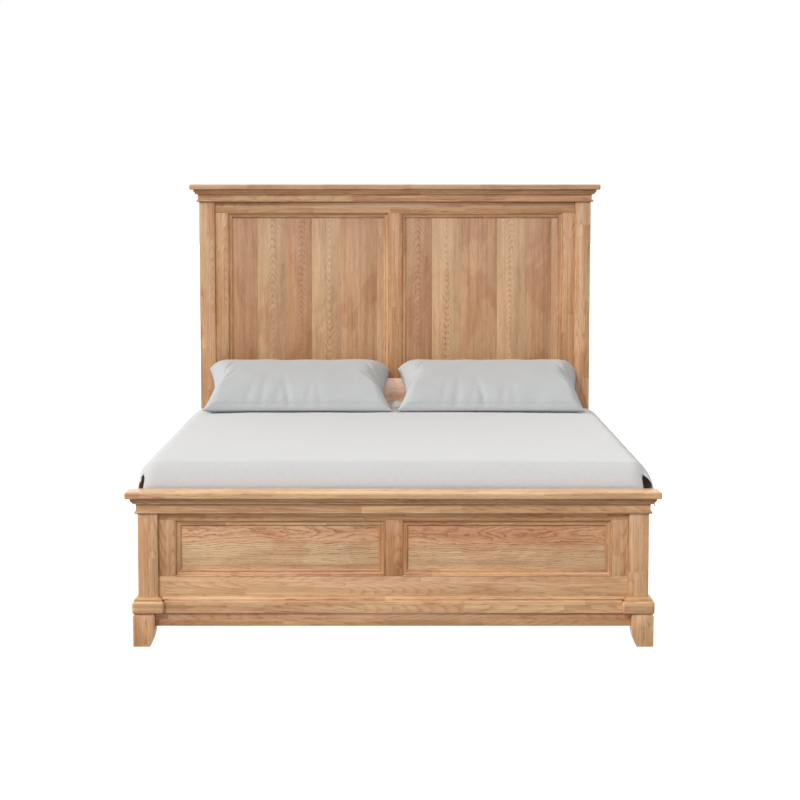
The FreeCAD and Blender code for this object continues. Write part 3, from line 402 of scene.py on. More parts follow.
def grain_solids(mesh, name, solids, boards):
    """Gives each solid its own grain coordinates, tone and pith.

    Grain is measured from a solid's middle and runs along its longest side. Across is the other side of
    its face, and through is its thickness. The last of the tone's values takes its timber from elsewhere.
    The boards are told from left to right: how pale, how red, where the pith is across, and its drift.
    """
    points = read(mesh.vertices, "co")
    solid = np.floor(points[:, 0] / SOLID_STEP + 0.5).astype(int)
    points[:, 0] -= solid * SOLID_STEP
    mesh.vertices.foreach_set("co", points.reshape(-1))
    mesh.update()
    chance = np.random.default_rng(sum(ord(letter) * (i + 1) for i, letter in enumerate(name)))
    grain, tone, pith = np.zeros((3,) + points.shape, dtype=np.float32)
    order = np.argsort([points[solid == i, 0].mean() for i in range(solids)])
    for rank, i in enumerate(order):
        mine = solid == i
        size = np.ptp(points[mine], axis=0)
        along = int(np.argmax(size))
        across, through = ((2, 1), (2, 0), (0, 1))[along]
        if size[across] < 0.4 * size[through]:
            across, through = through, across
        centre = (points[mine].min(axis=0) + points[mine].max(axis=0)) / 2
        grain[mine] = (points[mine] - centre)[:, (along, across, through)]
        usual = [chance.uniform(*span) for span in USUAL_BOARD]
        pale, red, aside, drift = boards[rank % len(boards)] if boards else usual
        tone[mine] = (BATCH_LEVEL.get(name.split("_")[0], 1.0) + pale, red, chance.uniform(0, 50))
        pith[mine] = (aside, PITH_DEPTH, drift)
    put_attribute(mesh, "grain", "FLOAT_VECTOR", grain)
    put_attribute(mesh, "tone", "FLOAT_VECTOR", tone)
    put_attribute(mesh, "pith", "FLOAT_VECTOR", pith)


def bring_out_fillet(mesh, name):
    """Moves a crown's fillet out to FILLET_OUT, where it catches the light between two lines of shade.

    How far out a point is, is measured from the posts' faces, at the front or at the sides, whichever is
    more, so a mitre keeps its angle. Only points between the cove's end and the ovolo's foot move, and
    they rise by FILLET_RISE.
    """
    low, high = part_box(name)
    points = read(mesh.vertices, "co")
    solid = np.floor(points[:, 0] / SOLID_STEP + 0.5) * SOLID_STEP
    x = points[:, 0] - solid
    reach = high.x - CROWN_REACH
    front = low.y + CROWN_REACH
    ahead, aside = front - points[:, 1], np.abs(x) - reach
    out = np.maximum(ahead, aside)
    up = points[:, 2] - low.z
    moved = (up > FILLET_FOOT - WELD) & (up < FILLET_TOP + WELD) & (out > FILLET_FROM - WELD)
    new_out = np.where(moved, np.maximum(out, FILLET_OUT), out)
    faces_front = moved & (np.abs(ahead - out) < 10 * WELD)
    faces_side = moved & (np.abs(aside - out) < 10 * WELD)
    points[:, 1] = np.where(faces_front, front - new_out, points[:, 1])
    points[:, 0] = np.where(faces_side, np.sign(x) * (reach + new_out) + solid, points[:, 0])
    points[:, 2] += np.where(moved, FILLET_RISE, 0)
    mesh.vertices.foreach_set("co", points.reshape(-1))


def dress_wood(name, material, easing=EASING):
    """Stands a sanded and grained copy in for a wooden CAD node."""
    mesh, solids = sanded(name, easing)
    grain_solids(mesh, name, solids, BOARDS.get(name))
    return place(name + "_sanded", mesh, material, BODY_OF[name], SLOT_OF[name], name)


# How pale and how red a board is, how far its pith lies to the side and how fast it drifts along. A
# panel's planks are told from left to right. A pith far to the side gives straight grain.
BOARDS = {
    "headboard_panel_left": (
        (0.01, 0.50, -0.12, 0.02), (0.04, 0.12, 0.005, 0.10), (-0.01, 0.50, 0.010, 0.12),
        (0.10, 0.04, 0.012, -0.10), (0.01, 0.40, 0.110, 0.03), (0.03, 0.25, 0.09, 0.0)),
    "headboard_panel_right": (
        (-0.01, 0.42, 0.010, 0.11), (0.11, 0.04, 0.000, -0.11), (0.02, 0.38, 0.12, 0.02),
        (0.12, 0.00, -0.006, 0.12), (-0.01, 0.42, 0.08, 0.06), (0.08, 0.15, 0.09, 0.0)),
    "footboard_panel_left": ((0.04, 0.02, 0.052, 0.030),),
    "footboard_panel_right": ((0.03, 0.05, 0.044, -0.035),),
    "footboard_mullion": ((-0.12, 0.50, 0.0, 0.0),),
    "headboard_mullion": ((-0.03, 0.30, 0.0, 0.0),),
    "headboard_cap": ((-0.05, 0.20, 0.0, 0.0),),
    "footboard_cap": ((0.03, 0.0, 0.0, 0.0),),
}
for node_name, slot_name in SLOT_OF.items():
    if slot_name == "oak_panel":
        dress_wood(node_name, OAK_WIDE if node_name.startswith("footboard") else OAK_PLANK, PANEL_EASING)
    elif slot_name == "oak_frame":
        dress_wood(node_name, OAK_FRAME)
    elif slot_name == "pine":
        dress_wood(node_name, PINE)


# ---- metal and small fittings 
WORN_METAL = "8A8A88"


def metal(name, colour, roughness, scratch):
    """A metal whose colour and gloss vary softly over a few millimetres, as plating does."""
    material, shader = new_material(name, roughness, metallic=1.0)
    where = add(material, "TexCoord")
    cloud = add(material, "TexNoise",
                {"Vector": where.outputs["Object"], "Scale": 1 / scratch, "Detail": 4.0})
    worn = add(material, "Mix", {0: cloud, 6: linear(colour), 7: linear(WORN_METAL)}, data_type="RGBA")
    plug(material, worn.outputs[2], shader, "Base Color")
    rough = add(material, "MapRange",
                {"Value": cloud, "To Min": roughness - 0.08, "To Max": roughness + 0.12})
    plug(material, rough.outputs[0], shader, "Roughness")
    return material


ZINC = metal("steel_pressed_bright_zinc", "C9CCD2", 0.34, 0.008)
YELLOW_ZINC = metal("steel_rolled_yellow_zinc", "CDBB78", 0.36, 0.004)
BRASS = metal("brass_turned", "D2AE62", 0.28, 0.004)


def nylon():
    """Moulded black nylon: fine moulded grain, half gloss."""
    material, shader = new_material("nylon_moulded_black", 0.45)
    where = add(material, "TexCoord")
    grit = add(material, "TexNoise", {"Vector": where.outputs["Object"], "Scale": 900.0, "Detail": 2.0})
    tint = add(material, "Mix", {0: grit, 6: linear("202122"), 7: linear("2E2F31")}, data_type="RGBA")
    plug(material, tint.outputs[2], shader, "Base Color")
    bump = add(material, "Bump", {"Strength": 0.2, "Distance": 0.0002, "Height": grit})
    plug(material, bump.outputs[0], shader, "Normal")
    return material


NYLON = nylon()
FITTING_FINISH = {"zinc_plated_steel": ZINC, "yellow_zinc_screws": YELLOW_ZINC, "brass_insert": BRASS,
                  "glide_nylon_and_steel": NYLON}
for node_name, slot_name in SLOT_OF.items():
    if slot_name in FITTING_FINISH:
        NODES[node_name].data.materials.clear()
        NODES[node_name].data.materials.append(FITTING_FINISH[slot_name])
    elif slot_name == "beech":
        dress_wood(node_name, PINE, 0.0)


# ---- cloth -------------------
def cloth_material(name, colour, shadow, pitch, slub, roughness, weave):
    """Plain woven cloth that reads "cloth": metres along the warp, along the weft, and from the nearest hem.

    The weave is two sets of rounded threads, one over the other in turn: the sign of
    sin(warp) * sin(weft) says which is on top. Slubs are noise drawn out along each set.
    """
    cloth, shader = new_material(name, roughness, Sheen_Weight=0.25, Sheen_Roughness=0.5,
                                    Specular_IOR_Level=0.2)
    where = add(cloth, "Attribute", attribute_name="cloth")
    parts = add(cloth, "SeparateXYZ", [where.outputs["Vector"]])
    threads, slubs = [], []
    for way, drawn in enumerate(((1 / slub, 6 / slub, 0.0), (6 / slub, 1 / slub, 0.0))):
        phase = add(cloth, "Math MULTIPLY", [parts.outputs[way], 2 * math.pi / pitch])
        threads.append(add(cloth, "Math SINE", [phase]))
        at = add(cloth, "VectorMath MULTIPLY", [where.outputs["Vector"], drawn])
        slubs.append(add(cloth, "TexNoise", {"Vector": at, "Scale": 1.0, "Detail": 3.0, "Roughness": 0.7}))
    crossing = add(cloth, "Math MULTIPLY", threads)
    uneven = add(cloth, "Math ADD", slubs)
    height = add(cloth, "Math MULTIPLY_ADD", [crossing, weave, uneven])
    dim = add(cloth, "MapRange", {"Value": height, "From Min": 0.6, "From Max": 1.4})
    tint = add(cloth, "Mix", {0: dim, 6: linear(shadow), 7: linear(colour)}, data_type="RGBA")
    plug(cloth, tint.outputs[2], shader, "Base Color")
    bump = add(cloth, "Bump", {"Strength": 0.35, "Distance": 0.0006, "Height": height})
    plug(cloth, bump.outputs[0], shader, "Normal")
    return cloth


# Cotton percale, plain weave, bleached pale grey. Its threads are 0.3 mm apart: drawn 2.4 mm apart to show
COVERLET_COTTON = cloth_material("cotton_percale_pale_grey", "CBCBCA", "BFBFBE", 0.0024, 0.030, 0.85, 0.20)
PILLOW_COTTON = cloth_material("cotton_pillowcase_pale_grey", "B9BBBB", "ADAFAF", 0.0024, 0.030, 0.85, 0.20)
# Knitted polyester ticking, white, quilted
TICKING = cloth_material("knit_ticking_white", "F7F7F5", "ECECEA", 0.0030, 0.020, 0.80, 0.25)
# Woven polyester border of the mattress, drawn dark charcoal as painted shade: it makes the slits at the
# coverlet's foot corners read as deep shadow
BORDER = cloth_material("woven_border_charcoal_painted_shade", "2A2B2D", "1D1E20", 0.0030, 0.020, 0.80, 0.25)


def quads_of(rows, columns, start=0, wrap=False):
    """The quads of a grid of rows by columns, closed round its columns if wrap."""
    index = np.arange(rows * columns).reshape(rows, columns) + start
    if wrap:
        index = np.hstack([index, index[:, :1]])
    return np.stack([index[:-1, :-1], index[:-1, 1:], index[1:, 1:], index[1:, :-1]], axis=-1).reshape(-1, 4)


def cloth_mesh(name, patches):
    """Joins grids into one mesh. A patch is (points, cloth values, wrap). Borders that meet are welded."""
    points, cloths, faces, start = [], [], [], 0
    for grid, cloth, wrap in patches:
        rows, columns = grid.shape[:2]
        points.append(grid.reshape(-1, 3))
        cloths.append(cloth.reshape(-1, 3))
        faces.append(quads_of(rows, columns, start, wrap))
        start += rows * columns
    mesh = bpy.data.meshes.new(name)
    mesh.from_pydata(np.vstack(points).tolist(), [], np.vstack(faces).tolist())
    put_attribute(mesh, "cloth", "FLOAT_VECTOR", np.vstack(cloths))
    form = bmesh.new()
    form.from_mesh(mesh)
    bmesh.ops.remove_doubles(form, verts=form.verts, dist=SEAM_WELD)
    bmesh.ops.dissolve_degenerate(form, dist=0.000001, edges=form.edges)
    bmesh.ops.recalc_face_normals(form, faces=form.faces)
    if form.calc_volume(signed=True) < 0:
        bmesh.ops.reverse_faces(form, faces=form.faces)
    form.to_mesh(mesh)
    form.free()
    mesh.polygons.foreach_set("use_smooth", np.ones(len(mesh.polygons), dtype=bool))
    return mesh


def ripple(x, y, seed, wavelength, count=14):
    """Soft unevenness: the mean of plane waves in seeded directions, from one to three times as short."""
    chance = np.random.default_rng(seed)
    total = np.zeros(np.broadcast(x, y).shape)
    for _ in range(count):
        heading = chance.uniform(0, math.pi)
        number = 2 * math.pi / wavelength * chance.uniform(1.0, 3.0)
        total += np.sin(number * (x * math.cos(heading) + y * math.sin(heading)) + chance.uniform(0, 6.3))
    return total / math.sqrt(count)


# ---- mattress ----------------
def rounded_outline(half_x, half_y, radius, steps):
    """A rounded rectangle walked once, as unit-spaced points: its corners are quarter circles."""
    straight_x, straight_y = 2 * (half_x - radius), 2 * (half_y - radius)
    quarter = math.pi / 2 * radius
    runs = np.array([straight_x, quarter, straight_y, quarter] * 2)
    ends = np.r_[0.0, np.cumsum(runs)]
    walked = np.linspace(0.0, ends[-1], steps, endpoint=False)
    run = np.clip(np.searchsorted(ends, walked, side="right") - 1, 0, 7)
    part = (walked - ends[run]) / runs[run]
    corner_x = np.array([1, 1, 1, 1, -1, -1, -1, -1])[run] * (half_x - radius)
    corner_y = np.array([-1, -1, 1, 1, 1, 1, -1, -1])[run] * (half_y - radius)
    side = run // 2
    start_angle = side * math.pi / 2 - math.pi / 2
    angle = np.where(run % 2 == 1, start_angle + part * math.pi / 2, start_angle)
    x = corner_x + radius * np.cos(angle)
    y = corner_y + radius * np.sin(angle)
    back = (1 - part) * runs[run]
    is_straight = run % 2 == 0
    x = np.where(is_straight, x - np.cos(start_angle + math.pi / 2) * back, x)
    y = np.where(is_straight, y - np.sin(start_angle + math.pi / 2) * back, y)
    return x, y, walked


def mattress_piece():
    """A quilted mattress.

    Rings from the middle of the top out to the rounded edge, down the border, and in under the base.
    Every ring is the rounded outline drawn in. On top, the quilting's diamonds are
    |sin(x + y) * sin(x - y)|^0.6, and a puff between the pillows rises with exp(-x^4) across the bed.
    """
    low, high, rim = mattress_low.z, mattress_high.z, MATTRESS_EDGE
    narrow = rim / MATTRESS_HALF_X
    x, y, walked = rounded_outline(MATTRESS_HALF_X, MATTRESS_HALF_Y, MATTRESS_CORNER, 510)
    top = np.linspace(0.0, 1.0, 78)
    turn = np.linspace(0.0, math.pi / 2, 10)[1:]
    border = np.linspace(0.0, 1.0, 20)[1:-1]
    share = np.r_[top * (1 - narrow), 1 - narrow * (1 - np.sin(turn)), 0 * border + 1,
                  1 - narrow * (1 - np.cos(turn)), top[::-1] * (1 - narrow)][:, None]
    height = np.r_[0 * top + high, high - rim * (1 - np.cos(turn)),
                   high - rim - border * (high - low - 2 * rim),
                   low + rim * (1 - np.sin(turn)), 0 * top + low][:, None]
    gx = share * x
    gy = np.where(share > 0, (1 - (1 - share) * MATTRESS_HALF_X / MATTRESS_HALF_Y) * y, 0.0)
    reach = unit(1 - np.maximum(np.abs(gx) / MATTRESS_HALF_X, np.abs(gy) / MATTRESS_HALF_Y))
    ahead, aside = (np.sin(math.pi * (gx + way * gy) / QUILT_PITCH) for way in (1, -1))
    quilt = np.abs(ahead * aside) ** 0.6
    puff = PUFF_RISE * eased((gy - PUFF_FROM) / PUFF_RUN) * np.exp(-(gx / PUFF_HALF) ** 4)
    on_top = height > high - 0.001
    quilting = unit(reach / 0.04) * (QUILT_RISE * quilt - QUILT_SINK)
    gz = height + on_top * (quilting + unit(reach / 0.03) * puff)
    on_border = np.abs(height - (low + high) / 2) < (high - low) / 2 - rim - 0.001
    tuft = on_border * TUFT_DEPTH * (0.5 - 0.5 * np.cos(2 * math.pi * walked / TUFT_PITCH))
    gx = gx - tuft * np.sign(gx) * (np.abs(x) > MATTRESS_HALF_X - 0.02)
    grid = grid_of(gx, gy + MATTRESS_MIDDLE_Y, gz)
    mesh = cloth_mesh("mattress_quilted", [(grid, grid_of(gx + gz, gy, 1.0), True)])
    piece = place("mattress_quilted", mesh, TICKING, "mattress", "mattress_ticking", "mattress")
    # the border's faces get the dark charcoal cloth, which is painted shade for the slits at the coverlet's
    # foot corners
    mesh.materials.append(BORDER)
    middles = read(mesh.polygons, "center")[:, 2]
    painted_shade_border = np.abs(middles - (low + high) / 2) < (high - low) / 2 - BORDER_EDGE * rim
    mesh.polygons.foreach_set("material_index", painted_shade_border.astype(np.int32))


def mattress_tapes():
    """The bound edges of the border: a tube carried round the rounded outline, once high and once low.

    At an angle A round the tube a point stands TAPE_R * cos(A) outwards and TAPE_R * sin(A) up.
    """
    inset = TAPE_R + 0.001
    x, y, walked = rounded_outline(MATTRESS_HALF_X - inset, MATTRESS_HALF_Y - inset, MATTRESS_CORNER, 480)
    ahead = np.stack([np.roll(x, -1) - np.roll(x, 1), np.roll(y, -1) - np.roll(y, 1)])
    ahead /= np.hypot(*ahead)
    angle = np.linspace(0, 2 * math.pi, 12)[:, None]
    out, up = TAPE_R * np.cos(angle), TAPE_R * np.sin(angle)
    edge = BORDER_EDGE * MATTRESS_EDGE
    patches = []
    for height in (mattress_high.z - edge, mattress_low.z + edge):
        grid = grid_of(x + out * ahead[1], y - out * ahead[0] + MATTRESS_MIDDLE_Y, height + up)
        patches.append((grid, grid_of(walked, TAPE_R * angle, 1.0), True))
    place("mattress_tapes", cloth_mesh("mattress_tapes", patches), TICKING, "mattress", "mattress_ticking")


mattress_piece()
mattress_tapes()


# ---- coverlet ----------------
SHOULDER_END = COVER_FLAT_X + SHOULDER_R * SHOULDER_TURN
COVER_FALL = COVER_TOP - COVER_SIDE_HEM - SHOULDER_R * (1 - math.cos(SHOULDER_TURN))
COVER_HALF = SHOULDER_END + COVER_FALL / math.sin(SHOULDER_TURN)
COVER_SPLIT = COVER_FLAT_X + SHOULDER_R * math.asin((COVER_SPLIT_X - COVER_FLAT_X) / SHOULDER_R)


def over_shoulder(walk):
    """How far out and how far down the cloth is, by how far it has come from its middle.

    It runs level to the shoulder, where at an angle A it is R * sin(A) further out and R * (1 - cos(A))
    down, and then straight on at the angle that the shoulder ends at.
    """
    turned = np.clip((walk - COVER_FLAT_X) / SHOULDER_R, 0, SHOULDER_TURN)
    past = np.clip(walk - SHOULDER_END, 0, None)
    out = np.minimum(walk, COVER_FLAT_X) + SHOULDER_R * np.sin(turned)
    down = SHOULDER_R * (1 - np.cos(turned))
    return out + past * math.cos(SHOULDER_TURN), down + past * math.sin(SHOULDER_TURN)


def cover_crown(x, y, drop, sunk=0.0):
    """How far the top swells and waves: (1 - x^2)^0.7, fading to the head, the foot and down the drops."""
    middle = unit(1 - (x / COVER_CROWN_X) ** 2) * unit((COVER_CROWN_Y - y) / COVER_FADE) ** 0.5
    waves = sum(rise * ripple(x, y, seed, length) for rise, seed, length in TOP_WAVES)
    level = unit(1 - sunk / COVER_SINK_FADE) * unit(1 - drop / COVER_FADE)
    return level * (COVER_CROWN * middle ** 0.7 * unit((y - cover_low.y) / COVER_FOOT_FADE) + waves)


def cover_sway(x, y, drop):
    """How far a side's drop stands out: shallow waves along it, less its turn inwards near the foot."""
    rise, seed, length = SIDE_WAVES
    forward = unit((COVER_TUCK_FROM - y) / (COVER_TUCK_FROM - cover_low.y))
    most = np.where(x < 0, *COVER_FRONT_TUCK)
    tuck = most * forward * unit((drop - over_shoulder(COVER_SPLIT)[1]) / 0.03)
    return rise * unit(drop / 0.12) * ripple(y, 0 * y, seed, length) - tuck


def coverlet_piece():
    """The coverlet as one cloth.

    Across, a strip goes over_shoulder. Along, it runs level from the head hem, round a tighter shoulder
    at the foot, sin(A)^(2 / squareness) on and 1 - cos(A)^(2 / squareness) down, and straight down. The
    drop at the foot is split from the sides, which run on past it to their own front hem and slide out
    as they come away from it. The drop's edge leans in along the slit.
    """
    stops = (0.0, COVER_FLAT_X, COVER_SPLIT, SHOULDER_END, COVER_HALF)
    runs = [np.linspace(a, b, count)[:-1] for a, b, count in zip(stops, stops[1:], (78, 9, 14, 10))]
    half = np.concatenate(runs + [stops[-1:]])
    s = np.r_[-half[::-1], half[1:]]
    out, drop = over_shoulder(np.abs(s))
    x = np.sign(s) * out

    foot_turn_y = cover_low.y + COVER_FOOT_R
    t_main = np.linspace(0, cover_high.y - foot_turn_y, 160)[:, None]
    turn = np.linspace(0, math.pi / 2, 22)
    onward = COVER_FOOT_R * np.sin(turn) ** (2 / FOOT_SQUARENESS)
    sinking = COVER_FOOT_R * (1 - np.cos(turn) ** (2 / FOOT_SQUARENESS))
    hang = np.linspace(0, COVER_TOP - COVER_FOOT_R - cover_low.z, 20)[1:]
    foot_out = np.r_[onward, 0 * hang + COVER_FOOT_R]
    foot_down = np.r_[sinking, hang + COVER_FOOT_R]
    t_foot = np.r_[0.0, np.cumsum(np.hypot(np.diff(foot_out), np.diff(foot_down)))]
    onward, sinking, foot_out, foot_down, t_foot = (
        row[:, None] for row in (onward, sinking, foot_out, foot_down, t_foot))

    gx, gy, gdrop = np.broadcast_arrays(x, cover_high.y - t_main, drop)
    gz = COVER_TOP - gdrop + cover_crown(gx, gy, gdrop)
    main = grid_of(gx + np.sign(gx) * cover_sway(gx, gy, gdrop), gy, gz)
    hem = np.minimum(t_main, COVER_HALF - np.abs(s))
    patches = [(main, grid_of(s, t_main, hem), False)]

    inner = np.abs(s) <= COVER_SPLIT + 1e-9
    si, di = s[inner], drop[inner]
    lean = unit((foot_out - COVER_SPLIT_START) / 0.010)
    lean = lean * unit(1 - (foot_down - COVER_LEAN_FROM) / COVER_LEAN_RUN)
    near_edge = unit(1 - (COVER_SPLIT - np.abs(si)) / COVER_LEAN_REACH) ** 1.5
    gx = x[inner] - np.sign(si) * COVER_SPLIT_LEAN * lean * near_edge
    gy = foot_turn_y - foot_out + 0 * gx
    gz = np.maximum(COVER_TOP - di - foot_down + cover_crown(gx, gy, di, foot_down), cover_low.z)
    rise, seed, length = FOOT_WAVES
    gy = gy + rise * unit((foot_down - COVER_FOOT_R) / 0.10) * ripple(gx, 0 * gx, seed, length)
    foot_hem = np.minimum(t_foot[-1] - t_foot, COVER_SPLIT - np.abs(si))
    patches.append((grid_of(gx, gy, gz), grid_of(si, t_main[-1] + t_foot, foot_hem), False))

    joined = unit(1 - (onward - COVER_SPLIT_START) / COVER_SPLIT_OPENS)
    for way in (-1, 1):
        so = np.abs(s[way * s >= COVER_SPLIT - 1e-9])
        free = unit(1 - (so - COVER_SPLIT) / COVER_SLIDE_REACH) ** 1.2 * (1 - joined)
        gx, gdrop = over_shoulder(so + COVER_SLIDE * free * sinking)
        gy = foot_turn_y - onward + 0 * so
        sunk = unit(1 - (so - COVER_SPLIT) / COVER_HELD) ** 1.5 * joined * sinking
        gz = COVER_TOP - gdrop - sunk + cover_crown(way * gx, gy, gdrop, sunk)
        side_hem = np.minimum(COVER_FOOT_R - onward, COVER_HALF - so)
        grid = grid_of(way * (gx + cover_sway(way * gx, gy, gdrop)), gy, gz)
        patches.append((grid, grid_of(way * so, t_main[-1] + onward, side_hem), False))
    mesh = cloth_mesh("coverlet_cloth", patches)
    if read(mesh.polygons, "normal")[:, 2].sum() < 0:
        mesh.flip_normals()
    piece = place("coverlet_cloth", mesh, COVERLET_COTTON, "mattress", "coverlet_cotton", "coverlet")
    wall = piece.modifiers.new("thickness", "SOLIDIFY")
    wall.thickness = COVER_THICK
    wall.offset = -1.0


coverlet_piece()


# ---- pillows -----------------
# Each end, left then right: where its ridge stands at the back, as a share of the half width, and how far
# its back and front corners stand out
PILLOW_ENDS = {
    "pillow_left": ((0.745, 0.011, 0.000), (0.575, -0.013, 0.003)),
    "pillow_right": ((0.690, -0.001, 0.003), (0.680, -0.016, -0.012)),
}
# Soft folds in the lower front: where across, how they lean, how long and how deep
PILLOW_FOLDS = ((0.23, 0.12, 0.14, 0.6), (0.31, 0.06, 0.20, 0.9), (0.385, 0.10, 0.12, 0.7),
                (0.46, -0.10, 0.22, 1.0), (0.55, 0.08, 0.13, 0.7), (0.63, -0.12, 0.16, 0.5))
# Creases in the end facets: from and to, in shares of the half width and depth, and how deep
PILLOW_CREASES = ((0.70, 0.55, 0.93, -0.20, 1.0), (0.80, 0.70, 0.97, 0.05, 0.7),
                  (0.66, 0.10, 0.90, -0.42, 0.8))


def settle(mesh, floor):
    """Lets a pillowcase settle in a short cloth simulation, with air inside and no gravity.

    The pressure blows the case out, the cloth resists stretching, and it wrinkles where it is drawn in.
    No point moves further than SETTLE_REACH, and none ends below the bed.
    """
    scene = bpy.context.scene
    stand_in = bpy.data.objects.new("settling_case", mesh.copy())
    scene.collection.objects.link(stand_in)
    cloth = stand_in.modifiers.new("settle", "CLOTH")
    cloth.settings.quality = 5
    cloth.settings.mass = 0.25
    cloth.settings.bending_stiffness = 0.3
    cloth.settings.use_pressure = True
    cloth.settings.uniform_pressure_force = 4.0
    cloth.settings.effector_weights.gravity = 0.0
    cloth.point_cache.frame_start = 1
    cloth.point_cache.frame_end = SETTLE_FRAMES
    for step in range(1, SETTLE_FRAMES + 1):
        scene.frame_set(step)
    settled = stand_in.evaluated_get(bpy.context.evaluated_depsgraph_get()).data
    before = read(mesh.vertices, "co")
    move = read(settled.vertices, "co") - before
    length = np.linalg.norm(move, axis=1, keepdims=True)
    points = before + move * np.minimum(1, SETTLE_REACH / np.maximum(length, 1e-9))
    points[:, 2] = np.maximum(points[:, 2], floor)
    mesh.vertices.foreach_set("co", points.reshape(-1))
    mesh.update()
    bpy.data.objects.remove(stand_in)
    scene.frame_set(1)


def pillow_piece(name):
    """A pillow lying with its back edge raised.

    Across is U and front to back is V, each from -1 to 1. Its ends draw in between the corners by the
    share 1 - |V|^1.5. It swells evenly across to a ridge, and past the ridge a facet falls straight to
    the end seam. The ridge is square to the back and swings out to the end seam in front of the middle.
    The seam's plane is tilted, and the underside lies flat on the bed.
    """
    low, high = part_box(name)
    half_w = (high.x - low.x) / 2
    depth = (high.y - low.y) / 2 / math.cos(PILLOW_TILT) * 0.985
    even_u, even_v = np.linspace(-1, 1, 132), np.linspace(-1, 1, 92)[:, None]
    u = 0.4 * np.sin(even_u * math.pi / 2) + 0.6 * even_u
    v = 0.5 * np.sin(even_v * math.pi / 2) + 0.5 * even_v
    back_ridge, ear, corner = (np.where(u < 0, left, right) for left, right in zip(*PILLOW_ENDS[name]))
    stand_out = ear * unit(v) ** 3 + corner * unit(-v) ** 3
    drawn = PILLOW_DRAW * (1 - np.abs(v + 0.18 * (1 - v ** 2)) ** 1.5)
    end = unit((np.abs(u) - PILLOW_END) / (1 - PILLOW_END)) ** 2
    flat_x = u * half_w + np.sign(u) * end * (stand_out - drawn)
    flat_y = v * (depth - 0.006 * (1 - u ** 2))
    ridge = back_ridge + (PILLOW_FRONT_RIDGE - back_ridge) * eased((0.15 - v) / 0.75)
    past_ridge = unit((np.abs(u) - ridge) / (1 - ridge))
    across_swell = (1 - past_ridge ** (2.1 + 2.4 * unit(v))) ** 0.72
    along_swell = np.where(v < 0, unit(1 - np.abs(v) ** 2.3) ** 0.60, unit(1 - np.abs(v) ** 3.4) ** 0.5)
    swell = across_swell * along_swell
    front = (1 - v) / 2
    folds = np.zeros(swell.shape)
    for at, lean, length, deep in PILLOW_FOLDS:
        line = (u + 1) / 2 - at - lean * (1 - front)
        folds += deep * np.exp(-(line / FOLD_W) ** 2) * np.exp(-((front - FOLD_AT) / length) ** 2)
    for from_u, from_v, to_u, to_v, deep in PILLOW_CREASES:
        run_u, run_v = to_u - from_u, to_v - from_v
        length = math.hypot(run_u, run_v)
        done = ((np.abs(u) - from_u) * run_u + (v - from_v) * run_v) / length ** 2
        off = ((np.abs(u) - from_u) * run_v - (v - from_v) * run_u) / length
        folds += deep * np.exp(-(off / CREASE_W) ** 2) * unit(4 * done * (1 - done))
    hem = np.exp(-(((v + 1) * depth - PILLOW_HEM) / HEM_W) ** 2)
    waves = CASE_WAVES[0] * ripple(flat_x, flat_y, len(name), CASE_WAVES[1])
    detail = waves * unit(swell / 0.4) - FOLD_DEPTH * folds * unit(swell / 0.3)
    top, under = PILLOW_RISES
    grids = []
    for bulge in (top * swell + detail - HEM_DEPTH * hem * unit(swell / 0.1), -under * swell):
        y = flat_y * math.cos(PILLOW_TILT) - bulge * math.sin(PILLOW_TILT)
        z = flat_y * math.sin(PILLOW_TILT) + bulge * math.cos(PILLOW_TILT)
        grids.append(grid_of((low.x + high.x) / 2 + flat_x, y, z))
    lift = PILLOW_LIFT - grids[0][0, :, 2].mean()
    back = high.y - max(grid[..., 1].max() for grid in grids)
    from_edge = np.minimum((1 - np.abs(u)) * half_w, (1 - np.abs(v)) * depth)
    for grid in grids:
        grid[..., 1] += back
        above = grid[..., 2] + lift
        pressed = PILLOW_SINK * np.exp(above / PILLOW_SINK - 1)
        grid[..., 2] = low.z + np.where(above < PILLOW_SINK, pressed, above)
    mesh = cloth_mesh(name + "_case", [(grid, grid_of(flat_x, flat_y, from_edge), False) for grid in grids])
    settle(mesh, low.z)
    piece = place(name + "_case", mesh, PILLOW_COTTON, name, "pillowcase_cotton", name)
    smooth = piece.modifiers.new("smooth", "SUBSURF")
    smooth.levels = 1
    smooth.render_levels = 1


for pillow_name in ("pillow_left", "pillow_right"):
    pillow_piece(pillow_name)


# ---- studio ------------------
SKY_ABOVE = 0.58  # the sky's light from overhead, and from below, where the floor would be
SKY_BELOW = 0.15
SKY_FROM_LEFT = 0.20  # what the left side of the sky has over that
SKY_BEHIND = 1.00  # and what the backdrop behind the bed has
LAMPS = (  # name, strength, width of the sun in degrees, where it shines to
    ("key", 1.02, 5.0, (0.32, 0.74, -0.60)),
    ("fill", 0.41, 8.0, (0.00, 0.98, -0.20)),
    ("side", 1.90, 10.0, (0.90, 0.06, -0.40)),
    ("floor_lamp", 3.00, 10.0, (0.00, 0.00, -1.00)),
    ("gap_lamp", 0.70, 5.0, (0.00, 0.98, -0.18)),
)


